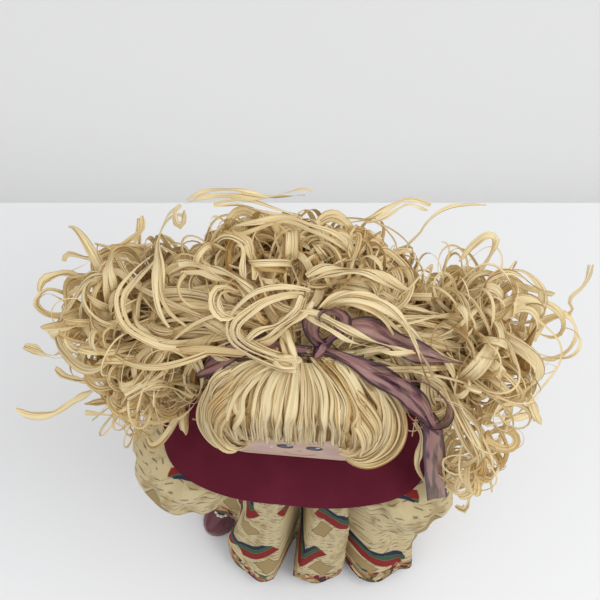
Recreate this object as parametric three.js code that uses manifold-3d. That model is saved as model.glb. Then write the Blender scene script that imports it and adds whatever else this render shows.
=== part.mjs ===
// A country-craft doll: a pine block head on a pegged wooden body with turned legs, swinging
// arms and painted shoes, a gathered dress with puffed sleeves and a cape collar, and a big
// mass of looped raffia hair that is tied on the crown with raffia and a ribbon.
// Millimetres, +Z up. The doll looks along -Y, so its left hand is on the +X side.
// The origin is on the floor, under the middle of the doll's overall box.

import * as THREE from "three";
import { mergeVertices } from "three/addons/utils/BufferGeometryUtils.js";
import Module from "manifold-3d";

const wasm = await Module();
wasm.setup();

// Gaps
const SEAT_GAP = 0.3; // between pieces that rest on each other
const PEG_PLAY = 0.3; // all round a peg in its bore
const HAIR_GAP = 0.8; // between neighbouring masses of raffia
const BORE_FLOOR_GAP = 0.5; // under the end of a glued peg

// Head block
const HEAD_WIDTH = 98;
const HEAD_DEPTH = 96;
const HEAD_HEIGHT = 110;
const HEAD_CORNER = 16;
const HEAD_EDGE = 5;

// Torso block
const TORSO_WIDTH = 80;
const TORSO_WAIST = 66;
const TORSO_DEPTH = 44;
const TORSO_HEIGHT = 168;
const TORSO_EDGE = 6;
const HIP_TUCK = 2; // the hips are this much narrower than the shoulders, on each side
const NECK_SEAT_WIDTH = 24;
const SHOULDER_SLOPE = 16;

// Neck dowel
const NECK_RADIUS = 12;
const NECK_GAP = 12; // bare dowel between torso and head
const NECK_DEPTH = 20; // length inside each bore

// Legs, turned on a lathe
const LEG_RISE = 114; // from the top of the shoe to the torso
const HIP_SPREAD = 26;
const LEG_RADIUS = 12;
const KNEE_RADIUS = 9.5;
const ANKLE_RADIUS = 8;
const LEG_PEG_RADIUS = 6;
const LEG_PEG_LENGTH = 14;

// Shoes
const SHOE_LENGTH = 84;
const SHOE_WIDTH = 35;
const SHOE_HEIGHT = 36;
const TOE_HEIGHT = 21;
const HEEL_TO_ANKLE = 28;
const ANKLE_SPREAD = 58;
const ANKLE_FORWARD = 6;
const TOE_OUT = THREE.MathUtils.degToRad(32);
const TRIM_BEADS = 11;
const TRIM_BEAD_RADIUS = 1.9;
const TRIM_CORD_RADIUS = 1.0;

// Arms and their pegs
const SHOULDER_DROP = 32; // from the top of the torso to the pivot
const SHOULDER_FORWARD = 4;
const ARM_RADIUS = 11;
const WRIST_RADIUS = 7.5;
const HAND_WIDTH = 12;
const HAND_THICKNESS = 6;
const ARM_LENGTH = 122; // from the pivot to the finger tips
const ARM_OUTWARD = 34; // how far the hand stands out from the pivot
const ARM_FORWARD = 50; // how far the hand stands in front of the pivot
const PEG_RADIUS = 4.5;
const PEG_HEAD_RADIUS = 8;
const PEG_HEAD_LENGTH = 4;
const PEG_DEPTH = 15; // length inside the torso

// Cloth
const CLOTH = 1.4;
const BODICE_EASE = 2.4; // between the torso and the bodice
const BODICE_LENGTH = 70;
const BODICE_TOP_DROP = 12; // below the top of the torso, at the neck
const ARMHOLE_RADIUS = 16;
const WAIST_OVERLAP = 8; // height over which the skirt covers the bodice
const SKIRT_HEM_HEIGHT = 16;
const SKIRT_CENTRE = [10, 0]; // of the hem, on the floor plan
const SKIRT_VALLEY = 84; // radius of the hem between two folds
const SHOE_LIFT = 21; // the hem rises this much over the shoe that peeps out
const CAPE_HALF_WIDTH = 105;
const CAPE_FRONT = 75;
const CAPE_BACK = 54;
const CAPE_SIDE_DROP = 24;
const CAPE_FRONT_DROP = 34;
const CAPE_NECK_RADIUS = 16;
const SLEEVE_GIRTH = 45; // radius of the puff
const CAPE_REST = 1; // between the cape's neck edge and the torso that carries it
const CAPE_EASE = 0.9; // between the cape and the sleeves under it
const CUFF_RADIUS = 15;
const CUFF_FLARE = 21;

// Raffia and ribbon
const STRAND_WIDTH = 8;
const STRAND_THICKNESS = 1.8;
const RIBBON_WIDTH = 16;
const RIBBON_THICKNESS = 1;
const RIBBON_REST = 2.4; // from the bangs to the middle of the ribbon that lies on them
const GATHER_HEIGHT = 13; // of the knot above the head
const BROW_FULLNESS = 4; // how far the bangs stand out in front of the head
const CORNER_FULLNESS = 16; // the same over the corners of the brow
const TEMPLE_FULLNESS = 26; // the same over the sides of the head
const BROW_HEIGHT = 65; // of the strands' ends over the middle of the face, from the chin
const TEMPLE_HEIGHT = 38; // the same at the sides
const SIDE_HAIR_OUT = 65; // from the side of the head to the middle of the side hair
const BACK_HAIR_OUT = 2; // from the back of the head to the middle of the back hair

// Heights that follow from the sizes above
const TORSO_BOTTOM = SHOE_HEIGHT + LEG_RISE;
const TORSO_TOP = TORSO_BOTTOM + TORSO_HEIGHT;
const HEAD_BOTTOM = TORSO_TOP + NECK_GAP;
const HEAD_TOP = HEAD_BOTTOM + HEAD_HEIGHT;
const GATHER = HEAD_TOP + GATHER_HEIGHT;
const SHOULDER_Z = TORSO_TOP - SHOULDER_DROP;
const BODICE_HALF_WIDTH = TORSO_WIDTH / 2 + BODICE_EASE + CLOTH;
const BODICE_HALF_DEPTH = TORSO_DEPTH / 2 + BODICE_EASE + CLOTH;
const BODICE_TOP = TORSO_TOP - BODICE_TOP_DROP;
const BODICE_BOTTOM = BODICE_TOP - BODICE_LENGTH;
const WAIST_Z = BODICE_BOTTOM + WAIST_OVERLAP;
const PIVOT_X = BODICE_HALF_WIDTH + 2 + ARM_RADIUS;
const CAPE_NECK_Z = TORSO_TOP + CAPE_REST + CLOTH;

const V = (x, y, z) => new THREE.Vector3(x, y, z);
const smooth = (t) => THREE.MathUtils.smoothstep(t, 0, 1);
const lerp = THREE.MathUtils.lerp;
const degrees = THREE.MathUtils.degToRad;

const pine = new THREE.MeshStandardMaterial({ color: 0xd2aa8c, roughness: 0.6 });
const shoePaint = new THREE.MeshStandardMaterial({ color: 0x4a1a22, roughness: 0.3 });
const print = new THREE.MeshStandardMaterial({ color: 0xbfa882, roughness: 0.9 });
const burgundy = new THREE.MeshStandardMaterial({ color: 0x5a192a, roughness: 0.85 });
const raffia = new THREE.MeshStandardMaterial({ color: 0xcdb682, roughness: 0.65 });
const organza = new THREE.MeshStandardMaterial({ color: 0x6d4a5c, roughness: 0.45 });
const whiteTrim = new THREE.MeshStandardMaterial({ color: 0xe4dccb, roughness: 0.8 });

// A closed geometry through rings of equally many points. A looped loft joins its last ring
// to its first, and any other is capped at both ends. The faces are turned to point outwards.
function loft(rings, looped = false) {
  const around = rings[0].length;
  const points = rings.flat();
  const faces = [];
  const joins = looped ? rings.length : rings.length - 1;
  for (let r = 0; r < joins; r++) {
    const low = r * around;
    const high = ((r + 1) % rings.length) * around;
    for (let k = 0; k < around; k++) {
      const next = (k + 1) % around;
      faces.push(low + k, low + next, high + next, low + k, high + next, high + k);
    }
  }
  if (!looped) {
    for (const [ring, flip] of [[0, true], [rings.length - 1, false]]) {
      const centre = points.length;
      const middle = V(0, 0, 0);
      for (const p of rings[ring]) middle.addScaledVector(p, 1 / around);
      points.push(middle);
      for (let k = 0; k < around; k++) {
        const a = ring * around + k;
        const b = ring * around + ((k + 1) % around);
        faces.push(centre, ...(flip ? [b, a] : [a, b]));
      }
    }
  }
  let volume = 0;
  for (let f = 0; f < faces.length; f += 3) {
    const [a, b, c] = [points[faces[f]], points[faces[f + 1]], points[faces[f + 2]]];
    volume += a.dot(b.clone().cross(c));
  }
  if (volume < 0) faces.reverse();
  const geometry = new THREE.BufferGeometry().setFromPoints(points);
  geometry.setIndex(faces);
  geometry.computeVertexNormals();
  return geometry;
}

// A flat strip of constant width along a curve. across(t) gives the direction of its width.
function strip(curve, across, width, thickness, steps) {
  const rings = [];
  for (let i = 0; i <= steps; i++) {
    const t = i / steps;
    const along = curve.getTangent(t);
    const side = across(t).clone();
    side.addScaledVector(along, -side.dot(along)).normalize();
    const up = along.clone().cross(side);
    const at = curve.getPoint(t);
    rings.push(
      [[-1, -1], [1, -1], [1, 1], [-1, 1]].map(([a, b]) =>
        at.clone().addScaledVector(side, (a * width) / 2).addScaledVector(up, (b * thickness) / 2),
      ),
    );
  }
  return loft(rings);
}

// A turned piece about +Z. The profile runs from its lower end to its upper end.
function turned(profile, segments) {
  const outline = [[0, profile[0][1]], ...profile, [0, profile.at(-1)[1]]];
  const lathe = new THREE.LatheGeometry(outline.map(([r, z]) => new THREE.Vector2(r, z)), segments);
  return lathe.rotateX(Math.PI / 2);
}

// A round cutter or dowel along +Z from low to high
function dowel(radius, low, high, segments = 24) {
  return turned([[radius, low], [radius, high]], segments);
}

// Turns a piece that was made along +Z to the direction given, and moves its foot to a point.
function aim(direction, foot) {
  const turn = new THREE.Quaternion().setFromUnitVectors(V(0, 0, 1), direction.clone().normalize());
  return new THREE.Matrix4().compose(foot, turn, V(1, 1, 1));
}

function asSolid(geometry) {
  const bare = new THREE.BufferGeometry();
  bare.setAttribute("position", geometry.getAttribute("position"));
  bare.setIndex(geometry.getIndex());
  const merged = mergeVertices(bare, 1e-3);
  return new wasm.Manifold(
    new wasm.Mesh({
      numProp: 3,
      vertProperties: merged.getAttribute("position").array,
      triVerts: Uint32Array.from(merged.getIndex().array),
    }),
  );
}

function asGeometry(solid) {
  const mesh = solid.getMesh();
  const geometry = new THREE.BufferGeometry();
  geometry.setAttribute("position", new THREE.BufferAttribute(mesh.vertProperties, 3));
  geometry.setIndex(new THREE.BufferAttribute(mesh.triVerts, 1));
  geometry.computeVertexNormals();
  return geometry;
}

function cut(geometry, ...cutters) {
  return asGeometry(cutters.reduce((left, c) => left.subtract(asSolid(c)), asSolid(geometry)));
}

function join(...geometries) {
  return geometries.map(asSolid).reduce((sum, g) => sum.add(g));
}

function piece(name, geometry, material, parent) {
  const mesh = new THREE.Mesh(geometry, material);
  mesh.name = name;
  parent.add(mesh);
  return mesh;
}

const doll = new THREE.Group();
const body = new THREE.Group();
const dress = new THREE.Group();
const hair = new THREE.Group();
doll.add(body, dress, hair);

// Rounded rectangle about the origin
function roundedRectangle(width, height, corner) {
  const [x, y] = [width / 2, height / 2];
  const shape = new THREE.Shape();
  shape.moveTo(-x + corner, -y);
  shape.lineTo(x - corner, -y);
  shape.absarc(x - corner, -y + corner, corner, -Math.PI / 2, 0);
  shape.lineTo(x, y - corner);
  shape.absarc(x - corner, y - corner, corner, 0, Math.PI / 2);
  shape.lineTo(-x + corner, y);
  shape.absarc(-x + corner, y - corner, corner, Math.PI / 2, Math.PI);
  shape.lineTo(-x, -y + corner);
  shape.absarc(-x + corner, -y + corner, corner, Math.PI, 1.5 * Math.PI);
  return shape;
}

// A block cut to a front outline, with its front and back edges eased by a bevel
function block(outline, depth, edge) {
  const solid = new THREE.ExtrudeGeometry(outline, {
    depth: depth - 2 * edge,
    bevelThickness: edge,
    bevelSize: edge,
    bevelSegments: 2,
    curveSegments: 4,
  });
  return solid.translate(0, 0, edge - depth / 2).rotateX(Math.PI / 2);
}

// The head's own frame has its origin at the middle of its lower face. Growth is for cutters.
function headBlock(growth = 0) {
  const inset = 2 * HEAD_EDGE - 2 * growth;
  const outline = roundedRectangle(HEAD_WIDTH - inset, HEAD_HEIGHT - inset, HEAD_CORNER - HEAD_EDGE);
  return block(outline, HEAD_DEPTH + 2 * growth, HEAD_EDGE).translate(0, 0, HEAD_HEIGHT / 2);
}

function torsoOutline() {
  const [shoulder, waist] = [TORSO_WIDTH / 2 - TORSO_EDGE, TORSO_WAIST / 2 - TORSO_EDGE];
  const [low, high] = [TORSO_EDGE, TORSO_HEIGHT - TORSO_EDGE];
  const armpit = high - SHOULDER_SLOPE;
  const hip = shoulder - HIP_TUCK;
  const rise = (share) => low + share * TORSO_HEIGHT;
  const chest = armpit - 0.24 * TORSO_HEIGHT;
  const tip = armpit + TORSO_EDGE / 2;
  const shape = new THREE.Shape();
  shape.moveTo(-hip, low);
  shape.lineTo(hip, low);
  shape.bezierCurveTo(hip, rise(0.18), waist, rise(0.24), waist, rise(0.42));
  shape.bezierCurveTo(waist, rise(0.56), shoulder, chest, shoulder, armpit - TORSO_EDGE);
  shape.quadraticCurveTo(shoulder, armpit, shoulder - TORSO_EDGE, tip);
  shape.lineTo(NECK_SEAT_WIDTH / 2, high);
  shape.lineTo(-NECK_SEAT_WIDTH / 2, high);
  shape.lineTo(TORSO_EDGE - shoulder, tip);
  shape.quadraticCurveTo(-shoulder, armpit, -shoulder, armpit - TORSO_EDGE);
  shape.bezierCurveTo(-shoulder, chest, -waist, rise(0.56), -waist, rise(0.42));
  shape.bezierCurveTo(-waist, rise(0.24), -hip, rise(0.18), -hip, low);
  return shape;
}

// Where each leg meets the torso and its shoe
const hipPoint = (side) => V(side * HIP_SPREAD, 0, TORSO_BOTTOM);
const anklePoint = (side) => V(side * ANKLE_SPREAD, -ANKLE_FORWARD, SHOE_HEIGHT);
const shoulderPoint = (side) => V(side * PIVOT_X, -SHOULDER_FORWARD, SHOULDER_Z);

function legBore(side) {
  const toAnkle = anklePoint(side).sub(hipPoint(side));
  const bore = dowel(LEG_PEG_RADIUS + PEG_PLAY, -LEG_PEG_LENGTH - BORE_FLOOR_GAP, 6, 16);
  return bore.applyMatrix4(aim(toAnkle, hipPoint(side)));
}

// A peg's bore across the torso's side, along X
function shoulderBore(side) {
  const deep = TORSO_WIDTH / 2 - PEG_DEPTH - BORE_FLOOR_GAP;
  const bore = dowel(PEG_RADIUS + PEG_PLAY, deep, TORSO_WIDTH, 16);
  const foot = V(0, -SHOULDER_FORWARD, SHOULDER_Z);
  return bore.applyMatrix4(aim(V(side, 0, 0), foot));
}

function makeHeadAndTorso() {
  const neckBore = dowel(NECK_RADIUS + PEG_PLAY, -NECK_GAP, NECK_DEPTH + BORE_FLOOR_GAP);
  const head = piece("head", cut(headBlock(), neckBore), pine, body);
  head.position.z = HEAD_BOTTOM;

  const lift = new THREE.Matrix4().makeTranslation(0, 0, -TORSO_BOTTOM);
  const trunk = block(torsoOutline(), TORSO_DEPTH, TORSO_EDGE);
  const neckSocket = dowel(
    NECK_RADIUS + PEG_PLAY,
    TORSO_HEIGHT - NECK_DEPTH - BORE_FLOOR_GAP,
    TORSO_HEIGHT + NECK_GAP,
  );
  const bores = [-1, 1].flatMap((side) => [legBore(side), shoulderBore(side)]);
  for (const bore of bores) bore.applyMatrix4(lift);
  const torso = piece("torso", cut(trunk, neckSocket, ...bores), pine, body);
  torso.position.z = TORSO_BOTTOM;

  const neck = turned(
    [
      [NECK_RADIUS - 1.5, -NECK_DEPTH],
      [NECK_RADIUS, 1.5 - NECK_DEPTH],
      [NECK_RADIUS, NECK_GAP + NECK_DEPTH - 1.5],
      [NECK_RADIUS - 1.5, NECK_GAP + NECK_DEPTH],
    ],
    24,
  );
  piece("neck_dowel", neck, pine, body).position.z = TORSO_TOP;
}

// Half the width and the height of the shoe at a distance from the heel
function shoeSection(fromHeel) {
  const t = THREE.MathUtils.clamp(fromHeel / SHOE_LENGTH, 0, 1);
  const heelRound = Math.sqrt(1 - (1 - Math.min(1, t / 0.2)) ** 2);
  const toeRound = Math.sqrt(1 - Math.max(0, (t - 0.72) / 0.28) ** 2);
  const waist = 0.86 + 0.14 * smooth((t - 0.3) / 0.4);
  const instep = lerp(SHOE_HEIGHT, TOE_HEIGHT, smooth((t - 0.42) / 0.42));
  const half = (SHOE_WIDTH / 2) * waist * Math.min(heelRound, toeRound);
  const height = instep * (0.55 + 0.45 * Math.min(heelRound, toeRound));
  return [Math.max(half, 1.2), height];
}

// Height of the shoe's skin over a point of its sole
function shoeTop(x, fromHeel) {
  const [half, height] = shoeSection(fromHeel);
  const share = Math.min(1, Math.abs(x) / half);
  return height * (1 - share ** 3) ** 0.5;
}

// The shoe's own frame has its origin on the floor under the ankle, with the toe along -Y.
function shoeBody(growth = 0) {
  const rings = [];
  const stations = 16;
  for (let i = 0; i <= stations; i++) {
    const fromHeel = (SHOE_LENGTH * (1 - Math.cos((Math.PI * i) / stations))) / 2;
    const [half, height] = shoeSection(fromHeel).map((size) => size + growth);
    const y = HEEL_TO_ANKLE - fromHeel;
    const ring = [V(-half * 0.93, y, 0), V(half * 0.93, y, 0)];
    for (const share of [1, 0.98, 0.86, 0.6, 0.25, -0.25, -0.6, -0.86, -0.98, -1]) {
      const low = Math.min(3, height / 3);
      const z = Math.abs(share) === 1 ? low : height * (1 - Math.abs(share) ** 3) ** 0.5;
      ring.push(V(half * share, y, Math.max(low, z)));
    }
    rings.push(ring);
  }
  return loft(rings);
}

// The beaded trim runs round the throat of the shoe, on its skin.
function shoeTrim() {
  const throat = { centre: -9, halfLength: 29, halfWidth: 12 };
  const steps = TRIM_BEADS * 3;
  const rings = [];
  const at = (k) => {
    const a = (2 * Math.PI * k) / steps;
    const x = throat.halfWidth * Math.sin(a);
    const y = throat.centre - throat.halfLength * Math.cos(a);
    return V(x, y, shoeTop(x, HEEL_TO_ANKLE - y) + TRIM_BEAD_RADIUS);
  };
  for (let k = 0; k < steps; k++) {
    const along = at(k + 1).sub(at(k - 1)).normalize();
    const side = along.clone().cross(V(0, 0, 1)).normalize();
    const up = side.clone().cross(along);
    const radius = lerp(TRIM_CORD_RADIUS, TRIM_BEAD_RADIUS, Math.abs(Math.cos((Math.PI * k) / 3)));
    const ring = [];
    for (let j = 0; j < 5; j++) {
      const b = (2 * Math.PI * j) / 5;
      ring.push(
        at(k).addScaledVector(side, radius * Math.cos(b)).addScaledVector(up, radius * Math.sin(b)),
      );
    }
    rings.push(ring);
  }
  return loft(rings, true);
}

function makeLegAndShoe(side, label) {
  const hip = hipPoint(side);
  const ankle = anklePoint(side);
  const along = ankle.clone().sub(hip);
  const reach = along.length();
  const [peg, tip] = [LEG_PEG_RADIUS, 1];
  const seat = SEAT_GAP + LEG_RADIUS * Math.tan(V(0, 0, -1).angleTo(along));
  const foot = SEAT_GAP + ANKLE_RADIUS * Math.tan(V(0, 0, -1).angleTo(along));
  const leg = turned(
    [
      [peg - tip, -LEG_PEG_LENGTH],
      [peg, tip - LEG_PEG_LENGTH],
      [peg, seat],
      [LEG_RADIUS, seat],
      [LEG_RADIUS, reach * 0.25],
      [KNEE_RADIUS, reach * 0.45],
      [LEG_RADIUS - 1, reach * 0.65],
      [ANKLE_RADIUS, reach * 0.92],
      [ANKLE_RADIUS, reach - foot],
      [peg, reach - foot],
      [peg, reach + LEG_PEG_LENGTH - tip],
      [peg - tip, reach + LEG_PEG_LENGTH],
    ],
    14,
  );
  piece(`leg_${label}`, leg, pine, body).applyMatrix4(aim(along, hip));

  const stand = new THREE.Group();
  stand.position.set(ankle.x, ankle.y, 0);
  stand.rotation.z = side * TOE_OUT;
  body.add(stand);
  stand.updateMatrixWorld(true);
  const socket = dowel(peg + PEG_PLAY, reach - 8, reach + LEG_PEG_LENGTH + BORE_FLOOR_GAP, 16);
  socket.applyMatrix4(aim(along, hip)).applyMatrix4(stand.matrixWorld.clone().invert());
  piece(`shoe_${label}`, cut(shoeBody(), socket), shoePaint, stand);
  piece(`shoe_trim_${label}`, cut(shoeTrim(), shoeBody(SEAT_GAP)), whiteTrim, stand);
}

// Distance along the arm, half its width and half its thickness
const ARM_SECTIONS = [
  [-10.5, 3, 3],
  [-9, 6.5, 6.5],
  [-5, 9.8, 9.8],
  [1, ARM_RADIUS, ARM_RADIUS],
  [ARM_LENGTH * 0.3, ARM_RADIUS - 1.5, ARM_RADIUS - 1.5],
  [ARM_LENGTH * 0.55, WRIST_RADIUS + 1.5, WRIST_RADIUS + 1.5],
  [ARM_LENGTH * 0.72, WRIST_RADIUS, WRIST_RADIUS - 1],
  [ARM_LENGTH * 0.8, HAND_WIDTH * 0.8, HAND_THICKNESS],
  [ARM_LENGTH * 0.88, HAND_WIDTH, HAND_THICKNESS],
  [ARM_LENGTH * 0.95, HAND_WIDTH * 0.85, HAND_THICKNESS * 0.9],
  [ARM_LENGTH * 0.99, HAND_WIDTH * 0.5, HAND_THICKNESS * 0.6],
  [ARM_LENGTH, HAND_WIDTH * 0.2, HAND_THICKNESS * 0.25],
];

function armDirection(side) {
  const drop = Math.sqrt(ARM_LENGTH ** 2 - ARM_OUTWARD ** 2 - ARM_FORWARD ** 2);
  return V(side * ARM_OUTWARD, -ARM_FORWARD, -drop).normalize();
}

// The arm's own frame has its origin at the shoulder pivot.
function makeArm(side, label) {
  const shoulder = new THREE.Group();
  shoulder.position.copy(shoulderPoint(side));
  body.add(shoulder);

  const along = armDirection(side);
  const palm = V(0, -1, 0).addScaledVector(along, along.y).normalize();
  const back = along.clone().cross(palm);
  const rings = ARM_SECTIONS.map(([distance, width, thickness]) =>
    Array.from({ length: 12 }, (_, k) => {
      const a = (2 * Math.PI * k) / 12;
      return along
        .clone()
        .multiplyScalar(distance)
        .addScaledVector(palm, width * Math.cos(a))
        .addScaledVector(back, thickness * Math.sin(a));
    }),
  );
  const thumb = new THREE.SphereGeometry(1, 8, 6).scale(3.4, 3.4, 8).rotateX(0.5);
  const root = along.clone().multiplyScalar(ARM_LENGTH * 0.84).addScaledVector(palm, HAND_WIDTH * 0.8);
  thumb.translate(root.x, root.y, root.z);
  const bore = dowel(PEG_RADIUS + PEG_PLAY, -2 * ARM_RADIUS, 2 * ARM_RADIUS, 20);
  const recess = dowel(PEG_HEAD_RADIUS + PEG_PLAY, ARM_RADIUS - 0.5, 2 * ARM_RADIUS, 20);
  for (const cutter of [bore, recess]) cutter.applyMatrix4(aim(V(side, 0, 0), V(0, 0, 0)));
  piece(`arm_${label}`, cut(asGeometry(join(loft(rings), thumb)), bore, recess), pine, shoulder);

  const inner = TORSO_WIDTH / 2 - PEG_DEPTH - PIVOT_X;
  const outer = ARM_RADIUS - 0.5 + SEAT_GAP;
  const peg = turned(
    [
      [PEG_RADIUS - 1, inner],
      [PEG_RADIUS, inner + 1],
      [PEG_RADIUS, outer],
      [PEG_HEAD_RADIUS, outer],
      [PEG_HEAD_RADIUS, outer + PEG_HEAD_LENGTH - 2],
      [PEG_HEAD_RADIUS - 3, outer + PEG_HEAD_LENGTH],
    ],
    16,
  );
  peg.applyMatrix4(aim(V(side, 0, 0), V(0, 0, 0)));
  piece(`shoulder_peg_${label}`, peg, pine, shoulder);
}

// Radius of a rounded oblong at an angle: an exponent of 2 is an ellipse, a high one a box.
function oblong(angle, halfWidth, halfDepth, exponent) {
  const c = Math.abs(Math.cos(angle) / halfWidth) ** exponent;
  const s = Math.abs(Math.sin(angle) / halfDepth) ** exponent;
  return (c + s) ** (-1 / exponent);
}

const BODICE_SQUARENESS = 6;
const bodiceRadius = (angle, growth = 0) =>
  oblong(angle, BODICE_HALF_WIDTH + growth, BODICE_HALF_DEPTH + growth, BODICE_SQUARENESS);

// Half the bodice's width where its side is y in front of or behind the middle
function bodiceSide(y) {
  const share = Math.min(0.98, Math.abs(y) / BODICE_HALF_DEPTH);
  return BODICE_HALF_WIDTH * (1 - share ** BODICE_SQUARENESS) ** (1 / BODICE_SQUARENESS);
}

// A cloth tube with an inner and an outer face. point(u, v, depth) is a point of the cloth:
// u runs round it in radians, v from one rim to the other, and depth is 0 outside, 1 inside.
function clothTube(point, around, along) {
  const ring = (v, depth) =>
    Array.from({ length: around }, (_, k) => point((2 * Math.PI * k) / around, v, depth));
  const rings = [];
  for (let i = 0; i <= along; i++) rings.push(ring(i / along, 0));
  for (let i = along; i >= 0; i--) rings.push(ring(i / along, 1));
  return loft(rings, true);
}

function makeBodice() {
  const cloth = (angle, v, depth) => {
    const r = bodiceRadius(angle, -depth * CLOTH);
    return V(r * Math.cos(angle), r * Math.sin(angle), lerp(BODICE_BOTTOM, BODICE_TOP, v));
  };
  const armholes = [-1, 1].map((side) => {
    const hole = dowel(ARMHOLE_RADIUS, TORSO_WIDTH / 4, TORSO_WIDTH, 20);
    return hole.applyMatrix4(aim(V(side, 0, 0), V(0, -SHOULDER_FORWARD, SHOULDER_Z)));
  });
  piece("bodice", cut(clothTube(cloth, 44, 2), ...armholes), print, dress);
}

// The skirt's organ-pipe folds at the hem: angle in degrees from +X, radius, half width in degrees
const SKIRT_FOLDS = [
  [-122, 102, 21],
  [-86, 96, 15],
  [-45, 121, 19],
  [-27, 100, 12],
  [-9, 107, 18],
  [27, 103, 19],
  [63, 98, 18],
  [97, 97, 18],
  [131, 99, 18],
  [165, 101, 18],
  [200, 97, 17],
];

// Deep pleats between two folds: angle, depth and half width, as above
const SKIRT_PLEATS = [
  [-103, 28, 9],
  [-68, 20, 9],
];
const SHOE_ARCH = { angle: -165, width: 40 };

// 1 at the centre of a fold, 0 at its edges and beyond
function bump(angle, centre, width) {
  const turn = 2 * Math.PI;
  const off = THREE.MathUtils.euclideanModulo(angle - degrees(centre) + Math.PI, turn) - Math.PI;
  const share = Math.min(1, Math.abs(off) / degrees(width));
  return Math.cos((Math.PI / 2) * share) ** 2;
}

function hemRadius(angle) {
  const pleat = SKIRT_PLEATS.reduce(
    (total, [centre, depth, width]) => total + depth * bump(angle, centre, width),
    0,
  );
  return SKIRT_FOLDS.reduce(
    (radius, [centre, reach, width]) => radius + (reach - SKIRT_VALLEY) * bump(angle, centre, width),
    SKIRT_VALLEY - pleat,
  );
}

function skirtPoint(angle, v, depth) {
  const waist = bodiceRadius(angle, SEAT_GAP + CLOTH);
  const spread = v ** 0.8;
  const fold = (hemRadius(angle) - SKIRT_VALLEY) * spread * smooth(0.25 + 2.2 * v);
  const radius = lerp(waist, SKIRT_VALLEY, spread) + fold - depth * CLOTH;
  const hem = SKIRT_HEM_HEIGHT + SHOE_LIFT * bump(angle, SHOE_ARCH.angle, SHOE_ARCH.width);
  return V(
    SKIRT_CENTRE[0] * spread + radius * Math.cos(angle),
    SKIRT_CENTRE[1] * spread + radius * Math.sin(angle),
    lerp(WAIST_Z, hem, v),
  );
}

// The cape is an oblong sheet round the neck. Its height over a point of the plan falls
// from the neck to its edge, with soft waves that grow outwards.
const CAPE_SQUARENESS = 3;
const CAPE_MIDDLE = (CAPE_BACK - CAPE_FRONT) / 2;
const CAPE_HALF_DEPTH = (CAPE_BACK + CAPE_FRONT) / 2;

const capeEdge = (angle) => oblong(angle, CAPE_HALF_WIDTH, CAPE_HALF_DEPTH, CAPE_SQUARENESS);

// Height of the cape's upper face at a share of the way from its neck to its edge
function capeLevel(angle, out) {
  const drop = lerp(CAPE_SIDE_DROP, CAPE_FRONT_DROP, Math.abs(Math.sin(angle)) ** 3);
  const wave = 1.6 * Math.sin(7 * angle + 0.6) * out ** 2;
  return CAPE_NECK_Z - drop * out ** 1.8 + wave;
}

// The same over a point of the plan. The middle of the rings moves forward as they widen.
function capeHeight(x, y) {
  let [angle, out] = [Math.atan2(y, x), 0];
  for (let pass = 0; pass < 6; pass++) {
    const ahead = y - CAPE_MIDDLE * out;
    angle = Math.atan2(ahead, x);
    const beyond = Math.hypot(x, ahead) - CAPE_NECK_RADIUS;
    out = Math.max(0, beyond / (capeEdge(angle) - CAPE_NECK_RADIUS));
  }
  return capeLevel(angle, out);
}

function capePoint(angle, v, depth) {
  const radius = lerp(CAPE_NECK_RADIUS, capeEdge(angle), v);
  const z = capeLevel(angle, v) - depth * CLOTH;
  return V(radius * Math.cos(angle), CAPE_MIDDLE * v + radius * Math.sin(angle), z);
}

// Share of the sleeve's length from armhole to cuff, and its radius there
const SLEEVE_RADII = [
  [0, ARMHOLE_RADIUS + CLOTH],
  [0.14, SLEEVE_GIRTH * 0.68],
  [0.4, SLEEVE_GIRTH],
  [0.64, SLEEVE_GIRTH * 0.95],
  [0.84, SLEEVE_GIRTH * 0.86],
  [0.94, CUFF_RADIUS + CLOTH],
  [1, CUFF_FLARE + CLOTH],
];
const SLEEVE_GATHERS = 9;

function sleeveRadius(v) {
  const next = Math.max(1, SLEEVE_RADII.findIndex(([share]) => share >= v));
  const [[low, a], [high, b]] = [SLEEVE_RADII[next - 1], SLEEVE_RADII[next]];
  return lerp(a, b, smooth((v - low) / (high - low)));
}

function makeSleeve(side, label) {
  const start = V(BODICE_HALF_WIDTH + SEAT_GAP, -SHOULDER_FORWARD, SHOULDER_Z);
  const wrist = armDirection(1).multiplyScalar(ARM_LENGTH * 0.76).add(shoulderPoint(1));
  const middle = new THREE.CubicBezierCurve3(
    start,
    V(start.x + 52, start.y - 14, start.z - 14),
    V(wrist.x + 8, wrist.y - 4, wrist.z + 62),
    wrist,
  );
  const cloth = (angle, v, depth) => {
    const along = middle.getTangent(v);
    const forward = V(0, 1, 0).addScaledVector(along, -along.y).normalize();
    const up = forward.clone().cross(along);
    const gather = 0.05 * Math.abs(2 * v - 1) * Math.sin(Math.PI * Math.min(1, 6 * v));
    const ripple = 1 + gather * Math.cos(SLEEVE_GATHERS * angle);
    const radius = sleeveRadius(v) * ripple - depth * CLOTH;
    const at = middle.getPoint(v);
    at.addScaledVector(forward, radius * Math.cos(angle));
    at.addScaledVector(up, radius * Math.sin(angle));
    const seam = bodiceSide(at.y) + SEAT_GAP;
    at.x = v === 0 ? seam : Math.max(at.x, seam + CLOTH * (1 - depth));
    const ceiling = capeHeight(side * at.x, at.y) - CLOTH - CAPE_EASE - depth * CLOTH;
    at.z = Math.min(at.z, ceiling);
    return at.setX(side * at.x);
  };
  piece(`sleeve_${label}`, clothTube(cloth, 28, 10), print, dress);
}

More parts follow.
